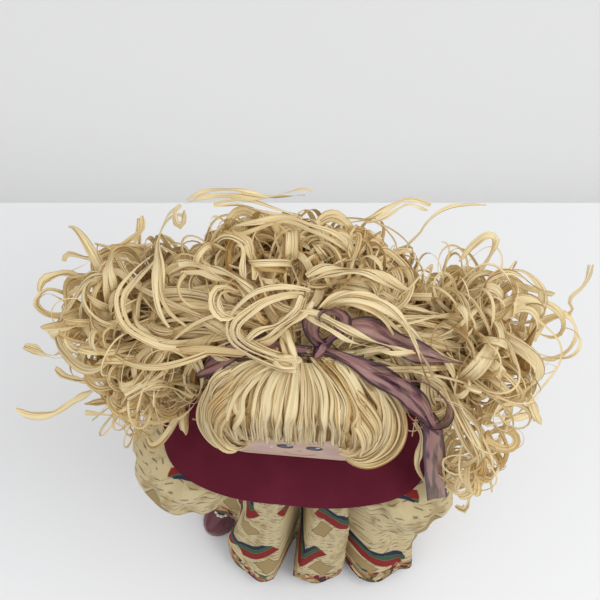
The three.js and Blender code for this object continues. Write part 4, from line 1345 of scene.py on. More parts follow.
# For each side of the face, the leaf at the brow's end and the outermost one
BULBS: dict[int, tuple[Points, Points]] = {
    1: (
        ((15, -10, 456), (23, -14, 455), (32, -23, 452), (38, -35, 443), (40, -45, 420),
         (38, -51, 400), (35, -53, 393), (30, -52, 391)),
        ((28, -15, 452), (51, -19, 442), (66, -26, 424), (75, -38, 400), (71, -50, 382),
         (56, -58, 374), (43, -57, 375), (34, -52, 384)),
    ),
    -1: (
        ((-9, -16, 456), (-18, -19, 455), (-28, -27, 452), (-34, -38, 443), (-37, -47, 420),
         (-34, -52, 400), (-30, -54, 393), (-26, -52, 391)),
        ((-22, -16, 452), (-41, -18, 445), (-56, -27, 432), (-65, -40, 408), (-63, -51, 386),
         (-53, -59, 375), (-43, -58, 375), (-35, -52, 384)),
    ),
}


@dataclass
class Bangs:
    """Leaves that fan out from the gather over the brow and turn under at their ends."""

    head: Head
    brow: float = 52.0
    corner: float = 84.5
    flat_angle: float = math.radians(33)
    corner_angle: float = math.radians(53)
    temple: float = 77.0
    brow_z: float = 395.0
    temple_z: float = 368.0
    back: float = 98.0
    bulb_angle: float = math.radians(39)
    side_angle: float = math.radians(76)
    brow_squareness: float = 9.0
    corner_squareness: float = 4.0
    # Layers from the innermost out: leaf count, growth, widths and tones; the innermost layer takes
    # brown tones as painted shade under the others.
    layers: tuple[tuple[int, float, Pair, Pair], ...] = (
        (44, -3.4, (7.0, 10.0), (0.95, 1.0)),
        (40, -2.0, (4.5, 7.5), (0.2, 0.96)),
        (44, -0.6, (3.0, 8.0), (0.0, 0.8)),
        (40, 0.8, (2.0, 7.5), (0.0, 0.75)),
        (32, 1.8, (0.6, 2.6), (0.2, 0.9)),
    )
    # A leaf over the block's front corner: how far out and how high each point lies
    guard: tuple[Pair, ...] = (
        (30, 448), (43, 444), (50, 437), (52.5, 420), (52.5, 400), (51, 384), (47, 377)
    )

    def corner_share(self, angle: Array) -> Array:
        """Returns how far angles lie on the way from the flat of the brow to its corner."""
        return smooth((np.abs(angle) - self.flat_angle) / (self.corner_angle - self.flat_angle))

    def point(self, angle: Array, v: Array, growth: Array | float) -> Array:
        """Returns points of the bangs' skin.

        Args:
            angle: Where each point lies, from straight ahead towards the doll's left.
            v: Its share of the way from the gather to the ends.
            growth: How far outside the skin it lies.

        Returns:
            The points.
        """
        off = np.abs(angle)
        share = self.corner_share(angle)
        inner = lerp(self.brow / np.cos(np.minimum(off, self.corner_angle)), self.corner, share)
        past = (off - self.corner_angle) / (math.pi / 2 - self.corner_angle)
        outer = lerp(self.corner, self.temple, smooth(past))
        reach = np.where(off < self.corner_angle, inner, outer) + growth
        power = 2 / lerp(self.brow_squareness, self.corner_squareness, share)
        end = lerp(self.brow_z, self.temple_z, share)
        sweep = math.pi / 2 * v
        radius = reach * np.sin(sweep) ** power
        top = self.head.gather - 3 + growth
        z = end + (top - end) * np.maximum(0, np.cos(sweep)) ** power
        return np.stack([radius * np.sin(angle), -radius * np.cos(angle), z], axis=-1)

    def _hook(self, last: Array, angle: float, rng: Random) -> Array:
        """Lays the stretch by which a leaf's end turns back under to the brow.

        Args:
            last: The leaf's last point.
            angle: Where it lies, from straight ahead, in radians.
            rng: The source of the stretch's depth.

        Returns:
            The stretch's points.
        """
        out = np.array([math.sin(angle), -math.cos(angle), 0.0])
        depth = rng.uniform(1.2, 2.2)
        around = np.linspace(0.3, 1.9, 10)[:, None]
        down = np.array([0, 0, 1.6]) * depth * np.sin(around)
        return last - out * depth * (1 - np.cos(around)) - down

    def leaf(self, angle: float, growth: float, width: float, rng: Random) -> Leaf:
        """Lays one leaf from the gather over the brow, and turns its end under.

        Args:
            angle: Where it ends, from straight ahead towards the doll's left, in radians.
            growth: How far it lies outside the skin.
            width: Its width.
            rng: The source of its differences.

        Returns:
            The leaf.
        """
        v = np.linspace(0.012, 1.0, 30) ** 1.5
        out = np.hypot(*self.point(np.full(len(v), angle), v, 0.0)[:, :2].T)
        fanned = 1 + 0.5 * (1 - smooth((out / out[-1]) ** 2))
        stray = rng.normal(0, 0.035) * v + 0.02 * wander(rng, v, 2, 6) * v
        lift = growth + rng.normal(0, 0.8) + wander(rng, v, 3, 7) * v
        line = self.point(np.clip(angle * fanned, -2.2, 2.2) + stray, v, lift)
        line[-1, 2] += abs(rng.normal(0, 2.2)) - 0.8
        line = through(np.vstack([line[::2], self._hook(line[-1], angle, rng)]), 2.8)
        along = unit(np.gradient(line, axis=0))
        across = [unit(np.cross(along[0], [0, 0, 1.0]))]
        for k in range(1, len(line)):
            across.append(unit(across[-1] - (across[-1] @ along[k]) * along[k]))
        tilt = rng.normal(0, 0.35)
        swing = np.sin(np.linspace(0, rng.uniform(2, 6), len(line)) + rng.uniform(0, 6))
        turned = turn(np.array(across), along, tilt + 0.4 * swing)
        return Leaf(line, turned, width, rng.uniform(0.5, 1.8), (0.4, 0.8), 0.09)

    def bulb_leaf(self, angle: float, growth: float, width: float, rng: Random) -> Leaf:
        """Lays one leaf that swings out beside the brow and curls in under.

        Args:
            angle: Its place among the leaves, from straight ahead, in radians.
            growth: How far it lies outside the skin.
            width: Its width.
            rng: The source of its differences.

        Returns:
            The leaf.
        """
        inner, outer = (np.array(line, float) for line in BULBS[1 if angle > 0 else -1])
        u = (abs(angle) - self.bulb_angle) / (self.side_angle - self.bulb_angle)
        u += rng.normal(0, 0.04)
        line = through(lerp(inner, outer, u), 2.8)
        share = np.linspace(0, 1, len(line))
        knots = np.linspace(0, 1, len(inner))
        across = unit(np.stack([np.interp(share, knots, c) for c in (outer - inner).T], axis=1))
        along = unit(np.gradient(line, axis=0))
        out = unit(np.cross(along, across))
        bulb_middle = np.array([inner[4, 0], -30, 385])
        out *= np.sign(np.sum(out * (line - bulb_middle), axis=1, keepdims=True))
        lift = growth + rng.normal(0, 0.8) + wander(rng, share, 3, 7) * share
        lift = lift + 4 * math.sin(math.pi * min(max(u, 0), 1)) * np.sin(math.pi * share)
        stray = rng.uniform(0.5, 2.2) * wander(rng, share, 3, 8)
        line = line + out * lift[:, None] + across * stray[:, None]
        line = eased(self.head.push_out(line, 5.0 + growth), 3)
        tilt = rng.normal(0, 0.3) + 0.5 * wander(rng, share, 2, 7)
        count = len(line) - int(rng.uniform(0, 5))
        turned = turn(across, along, tilt)[:count]
        return Leaf(line[:count], turned, width, rng.uniform(0.4, 1.6), (0.4, 0.7), 0.08)

    def build(self, rng: Random, material: Material) -> Thing:
        """Makes all the leaves of the bangs as one piece.

        Three leaves over each front corner of the block come first, so that none of it
        shows between the brow's leaves and the bulbs.

        Args:
            rng: The source of the leaves' differences.
            material: Their material.

        Returns:
            The piece.
        """
        sheaf = Sheaf(rng)
        for side in (-1, 1):
            for shift in (-3.5, 0.0, 3.5):
                line = through([(side * d + shift, -d + side * shift, z) for d, z in self.guard])
                across = np.tile(unit(np.array([1.0, side, 0.0])), (len(line), 1))
                sheaf.leaves.append(Leaf(line, across, 9.0, 0.9, (0.8, 0.5), tones=(0.6, 0.9)))
        for count, growth, widths, tones in self.layers:
            for k in range(count):
                share = (k + rng.uniform(0.1, 0.9)) / count
                angle = math.radians(lerp(-self.back, self.back, share))
                in_bulb = self.bulb_angle < abs(angle) < self.side_angle
                lay = self.bulb_leaf if in_bulb else self.leaf
                leaf = lay(angle, growth, rng.uniform(*widths), rng)
                sheaf.leaves.append(replace(leaf, tones=tones))
        return sheaf.build("bangs_leaves", material)

    def underlayer(self, material: Material) -> Thing:
        """Makes the shaded layer under the bangs.

        Args:
            material: Its material.

        Returns:
            The piece.
        """
        columns, rows = 60, 16
        angle = np.radians(np.linspace(-self.back, self.back, columns))[None, :].repeat(rows, 0)
        v = np.linspace(0.02, 0.97, rows)[:, None].repeat(columns, 1)
        points = self.point(angle, v, -5.2 - 9 * self.corner_share(angle)).reshape(-1, 3)
        return make_object("bangs_underlayer", points, net(rows, columns), material)


@dataclass
class Hair:
    """All the raffia: bangs, crown, back, sides, and the tie with its bow."""

    head: Head
    seed: int = 41
    laid_fullness: float = 1.35
    narrow: float = 5.0

    def tangles(self) -> tuple[Tangle, ...]:
        """Lists the masses of looped raffia.

        Returns:
            The masses, in the order in which they are made.
        """
        thin = (INNER, SPARSE, PARTED, BROAD, LOOPS, WISPS)
        full = (INNER, FILL, PARTED, BROAD, LOOPS, WISPS)
        side = partial(Tangle, root_spread=(10, 12, 4), kinds=thin, core=(0.4, 0.55, 0.6))
        crown = Tangle("hair_crown", (0, 54, 446), (92, 44, 30), (0, 14, 446), (16, 10, 3), full)
        back = Tangle("hair_back", (0, 58, 384), (84, 38, 68), (0, 34, 446), (30, 10, 3), full)
        right = side("hair_right", (-120, 24, 388), (74, 64, 54), (-22, 14, 444))
        left = side("hair_left", (117, 28, 388), (68, 64, 54), (22, 16, 444))
        # The side masses are painted paler than the crown and back, the doll's left one most:
        # painted light for the stronger light on that side.
        return (
            replace(right, core_shift=18, brown=0.85),
            replace(left, core_shift=-18, brown=0.7),
            replace(crown, core=(0.55, 0.6, 0.5)),
            replace(back, core=(0.6, 0.6, 0.7)),
        )

    def locks(self) -> dict[str, Tangle]:
        """Lists the locks that hang before the sleeves.

        Returns:
            Each lock, by the mass it belongs to.
        """
        few = (Growth(10, (2.5, 7.0), (11.0, 26.0)), Growth(8, (0.8, 1.8), (12.0, 30.0)))
        lock = partial(Tangle, "lock", root_spread=(8, 8, 8), kinds=few)
        return {
            "hair_left": lock((126, -42, 352), (24, 24, 50), (96, -4, 420), floor=290),
            "hair_right": lock((-114, -29, 371), (32, 20, 31), (-88, -2, 424), floor=338),
        }

    def build(self) -> list[Thing]:
        """Makes every piece of the hair.

        Returns:
            The pieces.
        """
        raffia = RaffiaFinish().material()
        shade = UnderlayerFinish().material()
        rng = np.random.default_rng(self.seed)
        made = []
        chosen = {"hair_right": RIGHT_LEAVES, "hair_left": LEFT_LEAVES, "hair_crown": CROWN_LEAVES}
        locks = self.locks()
        for tangle in self.tangles():
            sheaf = Sheaf(rng)
            sheaf.leaves += tangle.grow(rng, self.head)
            if tangle.name in locks:
                sheaf.leaves += locks[tangle.name].grow(rng, self.head)
            for width, points in chosen.get(tangle.name, ()):
                line = through(points)
                across = twisting_across(line, rng, 0.35)
                parts = 1 if width < self.narrow else 2
                roll = rng.uniform(0.3, 0.9)
                width *= self.laid_fullness
                leaf = Leaf(line, across, width, roll, (0.7, 0.5), 0.05, 0.2, parts, (0.0, 0.65))
                sheaf.leaves.append(leaf)
            piece = sheaf.build(f"{tangle.name}_leaves", raffia)
            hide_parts(tangle.name)
            core = tangle.underlayer(shade)
            made += [piece, core]
        bangs = Bangs(self.head)
        fringe = bangs.build(rng, raffia)
        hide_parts("hair_bangs")
        made += [fringe, bangs.underlayer(shade)]
        made += self.ties(rng, raffia)
        for piece in made:
            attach(piece, "figure")
        return made

    def ties(self, rng: Random, material: Material) -> list[Thing]:
        """Makes the knot of raffia on the gather and the bow that it holds.

        Args:
            rng: The source of the leaves' differences.
            material: Their material.

        Returns:
            The two pieces.
        """
        knot = Sheaf(rng)
        for width, points in TIE_WRAPS:
            line = through(points, 2.5)
            knot.leaves.append(Leaf(line, twisting_across(line, rng, 0.15), width, 1.5, (0.9, 0.9)))
        tie = knot.build("raffia_knot", material)
        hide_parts("raffia_tie")
        bow = Sheaf(rng)
        for width, points in BOW_LOOPS:
            line = through(points, 3.0)
            parts = 3 if width > self.narrow else 1
            across = twisting_across(line, rng, 0.1)
            # The bow's leaves take only the palest tones: painted light for the stronger light that
            # falls on them.
            leaf = Leaf(line, across, width, 0.5, (0.8, 0.8), parts=parts, tones=(0.0, 0.3))
            bow.leaves.append(leaf)
        loop = bow.build("raffia_bow_loop", material)
        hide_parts("raffia_bow")
        return [tie, loop]


@dataclass
class Strip:
    """A length of ribbon: the points that it runs through and how its width turns.

    Gathers are how much of its width it keeps at its two ends.
    """

    name: str
    points: Points
    across: Points
    replaces: tuple[str, ...]
    pleat: float = 1.0
    gathers: Pair = (1.0, 1.0)


STRIPS = (
    Strip(
        "ribbon_band_strip",
        ((10, -6, 452), (-4, -6, 453), (-20, -4, 453), (-36, -6, 451), (-50, -12, 443),
         (-62, -16, 430), (-70, -14, 412)),
        ((0, 1, 0), (0.1, 1, 0.3)),
        ("ribbon_band",), 1.2, (0.5, 0.7),
    ),
    Strip(
        "ribbon_up_loop",
        ((16, -3, 457), (9, 0, 464), (7, 6, 472), (11, 11, 478), (20, 13, 480), (26, 10, 476),
         (23, 3, 468), (18, -2, 460)),
        ((0.7, 0.7, 0.5), (0.5, -0.7, 0.6)),
        ("ribbon_loop",), 1.6, (0.45, 0.4),
    ),
    Strip(
        "ribbon_short_tail",
        ((18, -2, 458), (24, 5, 464), (33, 9, 467), (44, 10, 465), (56, 6, 460), (72, 1, 454),
         (90, -2, 449), (108, -3, 445)),
        ((0.6, 1, 0.3), (-0.1, 1, 0.5)),
        ("ribbon_tail_short",), 1.8, (0.4, 0.08),
    ),
    Strip(
        "ribbon_long_band",
        ((14, -5, 457), (23, -8, 459), (35, -12, 458), (48, -17, 455), (62, -22, 449),
         (75, -27, 441), (86, -33, 428), (93, -39, 414), (99, -41, 407)),
        ((0.3, 1, 0.1), (0.5, 0.8, 0.6)),
        ("ribbon_tail_long",), 1.5, (0.35, 0.3),
    ),
    Strip(
        "ribbon_side_loop",
        ((50, -18, 456), (62, -19, 454), (73, -20, 452), (84, -20, 448), (95, -24, 440),
         (102, -29, 428), (101, -35, 417), (93, -38, 411), (84, -34, 411)),
        ((0.05, -0.2, 0.95), (0.2, -0.55, 0.8)),
        (), 0.5, (0.3, 0.6),
    ),
    Strip(
        "ribbon_hanging_tail",
        ((88, -31, 412), (94, -36, 402), (98, -43, 378), (102, -49, 350), (106, -55, 322),
         (110, -62, 298)),
        ((0.9, 0.25, 0.2), (0.85, 0.3, 0.25)),
        (), 0.25, (0.8, 1.0),
    ),
)


@dataclass
class Ribbon:
    """The organza ribbon that is tied round the gather."""

    width: float = 16.0
    columns: int = 13
    knot_middle: Point = (14.5, -4.0, 455.5)

    def build(self) -> list[Thing]:
        """Makes the strips and the knot.

        Returns:
            The pieces.
        """
        organza = OrganzaFinish().material()
        made = [self._strip(strip, organza) for strip in STRIPS]
        made.append(self._knot(organza))
        for piece in made:
            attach(piece, "figure")
        return made

    def _strip(self, strip: Strip, material: Material) -> Thing:
        """Makes one strip with soft lengthwise pleats.

        Args:
            strip: The strip.
            material: Its material.

        Returns:
            The piece.
        """
        line = through(strip.points, 2.5)
        count = len(line)
        share = np.linspace(0, 1, count)[:, None]
        first, last = (np.array(a, float) for a in strip.across)
        across = first + (last - first) * smooth(share)
        along = unit(np.gradient(line, axis=0))
        across = squared(across, along)
        out = np.cross(along, across)
        s = np.linspace(-1, 1, self.columns)[None, :]
        start, end = strip.gathers
        full = lerp(start, 1.0, smooth(share / 0.45)) * lerp(end, 1.0, smooth((1 - share) / 0.35))
        x = s * self.width / 2 * full * (1 - 0.1 * strip.pleat * np.sin(share * 9) ** 2)
        bend = np.sin(share * 5)
        folds = 0.7 * np.cos(s * 9 + bend) * (1.35 - full) + np.cos(s * 4 + 2 * bend) * full
        y = strip.pleat * (folds + 0.4 * np.sin(share * 14 + s))
        grid = line[:, None] + x[..., None] * across[:, None] + y[..., None] * out[:, None]
        reach = distances(line)
        u = np.broadcast_to(s * self.width / 2, x.shape)
        v = np.broadcast_to(reach[:, None], x.shape)
        cut = np.stack([u, v], axis=-1).reshape(-1, 2) * MM
        faces = net(count, self.columns)
        piece = make_object(strip.name, grid.reshape(-1, 3), faces, material, cut)
        if strip.replaces:
            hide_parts(*strip.replaces)
        flat = (self.width * MM, float(reach[-1]) * MM)
        return piece

    def _knot(self, material: Material) -> Thing:
        """Makes the knot as a puckered bead of ribbon.

        Args:
            material: Its material.

        Returns:
            The piece.
        """
        ball, polar, around, faces = globe(18, 30)
        crease = np.abs(np.sin(4 * around + 2.5 * polar))
        pucker = (1 - 0.3 * np.sin(polar) * (1 - crease)) * (1 - 0.25 * np.sin(2 * polar) ** 2)
        x, y, z = 5.4 * ball[:, 0] * pucker, 8.0 * ball[:, 2], 4.6 * ball[:, 1] * pucker
        points = np.stack([x * 0.88 + y * 0.48, y * 0.88 - x * 0.48, z], axis=1)
        points += np.array(self.knot_middle)
        cut = np.stack([0.006 * np.cos(around), 0.012 * polar / math.pi], axis=1)
        piece = make_object("ribbon_knot_wrap", points, faces, material, cut)
        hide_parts("ribbon_knot")
        return piece


def oblong(angle: Array, half_width: float, half_depth: float, exponent: float) -> Array:
    """Gives the radius of a rounded oblong.

    Args:
        angle: Where it is wanted.
        half_width: Half its size in X.
        half_depth: Half its size in Y.
        exponent: How square it is: 2 for an ellipse, and more for fuller corners.

    Returns:
        The radius.
    """
    c = np.abs(np.cos(angle) / half_width) ** exponent
    s = np.abs(np.sin(angle) / half_depth) ** exponent
    return (c + s) ** (-1 / exponent)


def tube(rows: int, around: int) -> tuple[Array, Array]:
    """Returns the angle and the share of the length at each point of a tube."""
    angle = np.linspace(0, 2 * math.pi, around, endpoint=False)[None, :].repeat(rows, 0)
    return angle, np.linspace(0, 1, rows)[:, None].repeat(around, 1)


def shell(
    name: str,
    skins: Sequence[Array],
    cut: Array,
    material: Material,
    gone: Array | None = None,
) -> Thing:
    """Closes the two skins of a cloth tube into a piece.

    Args:
        name: The piece's name.
        skins: Its outer and its inner skin, each as rows of rings of points.
        cut: The flat place of each point in metres, laid out alike.
        material: Its material.
        gone: For each point, whether it lies in a hole. A cell goes if all its corners do.

    Returns:
        The piece.
    """
    rows, around = skins[0].shape[:2]
    size = rows * around
    points = np.concatenate([skin.reshape(-1, 3) for skin in skins])
    flat = np.concatenate([cut.reshape(-1, 2)] * 2)
    holes = np.zeros((rows, around), bool) if gone is None else gone
    missing = holes & np.roll(holes, -1, 1)
    missing = missing[:-1] & missing[1:]
    faces = []
    for i in range(rows - 1):
        for k in range(around):
            if missing[i, k]:
                continue
            j = (k + 1) % around
            ring = [i * around + k, i * around + j, (i + 1) * around + j, (i + 1) * around + k]
            faces.append(tuple(ring))
            faces.append(tuple(size + c for c in reversed(ring)))
            beyond = ((i - 1, k), (i, j), (i + 1, k), (i, k - 1))
            for side, (row, column) in enumerate(beyond):
                if 0 <= row < rows - 1 and not missing[row, column]:
                    continue
                p, q = ring[side], ring[(side + 1) % 4]
                faces.append((q, p, size + p, size + q))
    piece = make_object(name, points, faces, material, flat)
    form = bmesh.new()
    form.from_mesh(piece.data)
    bmesh.ops.recalc_face_normals(form, faces=form.faces)
    loose = [v for v in form.verts if not v.link_faces]
    bmesh.ops.delete(form, geom=loose, context="VERTS")
    form.to_mesh(piece.data)
    form.free()
    return piece


def ripples(x: Array, y: Array, waves: Sequence[tuple[float, float, float, float]]) -> Array:
    """Adds up slanting waves: each has a size, two rates and a start."""
    return sum(size * np.sin(x * a + y * b + c) for size, a, b, c in waves)


@dataclass
class Dress:
    """The bodice, skirt and cape collar, and the sleeves."""

    cloth: float = 1.4
    bodice_half: Pair = (43.8, 25.8)
    bodice_levels: Pair = (236.0, 306.0)
    squareness: float = 6.0
    waist: float = 244.0
    hem: float = 16.0
    hem_shift: float = 10.0
    valley: float = 84.0
    narrowest: float = 17.0
    shoe_lift: float = 21.0
    shoulder: Point = (56.8, -4.0, 286.0)
    armhole: float = 15.5
    neck_radius: float = 16.0
    cape_neck: float = 320.4
    cape_half_width: float = 105.0
    cape_front: float = 75.0
    cape_back: float = 54.0
    # Folds and pleats of the skirt: angle from the doll's left, reach or depth, half width
    folds: Points = (
        (-124, 107, 24), (-82, 95, 21), (-43, 119, 19), (-27, 98, 11), (-9, 107, 18), (27, 103, 19),
        (63, 98, 18), (97, 97, 18), (131, 99, 18), (165, 101, 18), (200, 97, 17),
    )
    pleats: Points = ((-101, 34, 4.6), (-61, 10, 3.0), (-150, 10, 8), (9, 9, 7))

    @staticmethod
    def bump(angle: Array, centre: Array | float, width: Array | float) -> Array:
        """Gives the profile of a fold.

        Args:
            angle: The angle of each point, in radians.
            centre: The fold's middle, in degrees.
            width: Half its width, in degrees.

        Returns:
            1 at the middle, and 0 at the edges and beyond.
        """
        off = (angle - np.radians(centre) + math.pi) % (2 * math.pi) - math.pi
        share = np.minimum(1, np.abs(off) / np.radians(width))
        return np.cos(math.pi / 2 * share**1.6)

    def pipe_radius(self, angle: Array, v: Array) -> Array:
        """Returns the skirt's radius before it narrows to the waist.

        Args:
            angle: The angle of each point.
            v: Its share of the way from the waist to the hem. Pleats are wider and deeper
                higher up, and fold and pleat lean.

        Returns:
            The radius, kept clear of the hands that swing beside the skirt.
        """
        radius = self.valley + np.zeros_like(angle)
        for centre, depth, width in self.pleats:
            middle = centre + self.lean(centre) * (1 - v)
            profile = self.bump(angle, middle, width * (4 - 3 * v))
            radius = radius - depth * lerp(3.6, 1.0, v) * profile
        for centre, reach, width in self.folds:
            middle = centre + self.lean(centre) * (1 - v)
            radius = radius + (reach - self.valley) * self.bump(angle, middle, width)
        room_beside_hands = lerp(20.0, 45.0, smooth((v - 0.35) / 0.4))
        return np.minimum(radius, self.valley + room_beside_hands)

    @staticmethod
    def lean(centre: float) -> float:
        """Returns how far a fold turns between the hem and the waist, in degrees."""
        return float(np.interp(centre, (-124, -101, -82, -43, -5), (0, 17, 36, 36, 0)))

    def skirt(self, material: Material) -> Thing:
        """Makes the skirt with its organ-pipe folds.

        Args:
            material: Its material.

        Returns:
            The piece.
        """
        rows, around = 56, 240
        angle, v = tube(rows, around)
        spread = v**0.8
        waist = oblong(angle, *self.bodice_half, self.squareness) + 0.5 + self.cloth
        gathers = 1.1 * np.maximum(0, np.sin(34 * angle)) * (1 - smooth(v * 4)) * smooth(v * 20)
        waves = ((1.3, 9, 2.1, 0.4), (0.9, 15, -3.2, 1.9), (0.6, 23, 5.0, 0.2))
        soft = ripples(angle, v * 3.0, waves) * smooth(v * 2)
        lift = self.shoe_lift * self.bump(angle, -165, 40)
        pipes = spread * smooth(0.25 + v * 2.2)
        skins = []
        for depth in (0, 1):
            radius = lerp(waist, self.valley, spread)
            radius = radius + (self.pipe_radius(angle, v) - self.valley) * pipes
            radius = radius + gathers + soft - 0.6 * smooth(v * 5)
            radius = np.maximum(radius, self.narrowest * smooth(v * 3)) - depth * self.cloth
            x = self.hem_shift * spread + radius * np.cos(angle)
            z = lerp(self.waist, self.hem + lift, v)
            skins.append(np.stack([x, radius * np.sin(angle), z], axis=-1))
        across = np.linspace(0, 1, around)[None, :].repeat(rows, 0)
        cut = np.stack([across * 0.68, (1 - v) * 0.235], axis=-1)
        piece = shell("skirt_cloth", skins, cut, material)
        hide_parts("skirt")
        return piece

    def bodice(self, material: Material) -> Thing:
        """Makes the bodice, with its armholes left to the sleeves.

        Args:
            material: Its material.

        Returns:
            The piece.
        """
        angle, v = tube(24, 160)
        low, high = self.bodice_levels
        z = lerp(low, high, v)
        crease = ripples(angle, v, ((0.35, 8, 5, 0.3), (0.25, 17, -9, 1.0)))
        skins = []
        for depth in (0, 1):
            radius = oblong(angle, *self.bodice_half, self.squareness) - depth * self.cloth
            radius = radius + np.minimum(0, crease)
            skins.append(np.stack([radius * np.cos(angle), radius * np.sin(angle), z], axis=-1))
        cut = np.stack([angle / (2 * math.pi) * 0.265, v * 0.07], axis=-1)
        outer = skins[0]
        _, y, z = self.shoulder
        from_pivot = np.hypot(outer[..., 1] - y, outer[..., 2] - z)
        hole = (from_pivot < self.armhole) & (np.abs(outer[..., 0]) > 30)
        piece = shell("bodice_cloth", skins, cut, material, hole)
        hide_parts("bodice")
        return piece

    @property
    def cape_middle(self) -> float:
        """Returns how far the cape's middle lies behind the neck."""
        return (self.cape_back - self.cape_front) / 2

    def cape_edge(self, angle: Array) -> Array:
        """Returns the radius of the cape's edge."""
        return oblong(angle, self.cape_half_width, (self.cape_back + self.cape_front) / 2, 3.0)

    def cape_level(self, angle: Array, out: Array) -> Array:
        """Returns the height of the cape's upper face."""
        drop = lerp(24.0, 34.0, np.abs(np.sin(angle)) ** 3)
        return self.cape_neck - drop * out**1.8 + 1.6 * np.sin(7 * angle + 0.6) * out**2

    def collar(self, material: Material) -> Thing:
        """Makes the cape collar with its soft waves.

        Args:
            material: Its material.

        Returns:
            The piece.
        """
        angle, v = tube(34, 220)
        radius = lerp(self.neck_radius, self.cape_edge(angle), v)
        x = radius * np.cos(angle)
        y = self.cape_middle * v + radius * np.sin(angle)
        waves = ((0.30, 0.09, 0.05, 0.3), (0.22, -0.07, 0.13, 1.7), (0.14, 0.21, -0.11, 0.9))
        level = self.cape_level(angle, v) + np.maximum(-0.2, ripples(x, y, waves)) * smooth(v * 3)
        rim = 0.25 * smooth((v - 0.95) / 0.05)
        skins = [np.stack([x, y, z], axis=-1) for z in (level + rim, level - self.cloth)]
        cut = np.stack([x, y], axis=-1) * MM
        piece = shell("collar_cloth", skins, cut, material)
        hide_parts("collar")
        return piece

    def build(self) -> list[Thing]:
        """Makes the cloth that rides on the doll's body.

        Returns:
            The pieces.
        """
        printed, plain = PrintFinish().material(), PlainClothFinish().material()
        made = [self.bodice(printed), self.skirt(printed), self.collar(plain)]
        for piece, slot in zip(made, ("printed_cotton", "printed_cotton", "burgundy_cloth")):
            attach(piece, "figure")
        sleeves = [Sleeve(self, side).build(printed) for side in Side]
        return made + sleeves


class Side(Enum):
    """The doll's two sides: a name and the sign of X."""

    RIGHT = ("right", -1)
    LEFT = ("left", 1)

    @property
    def label(self) -> str:
        """Returns the side's name."""
        return self.value[0]

    @property
    def sign(self) -> int:
        """Returns the sign of X on this side."""
        return self.value[1]


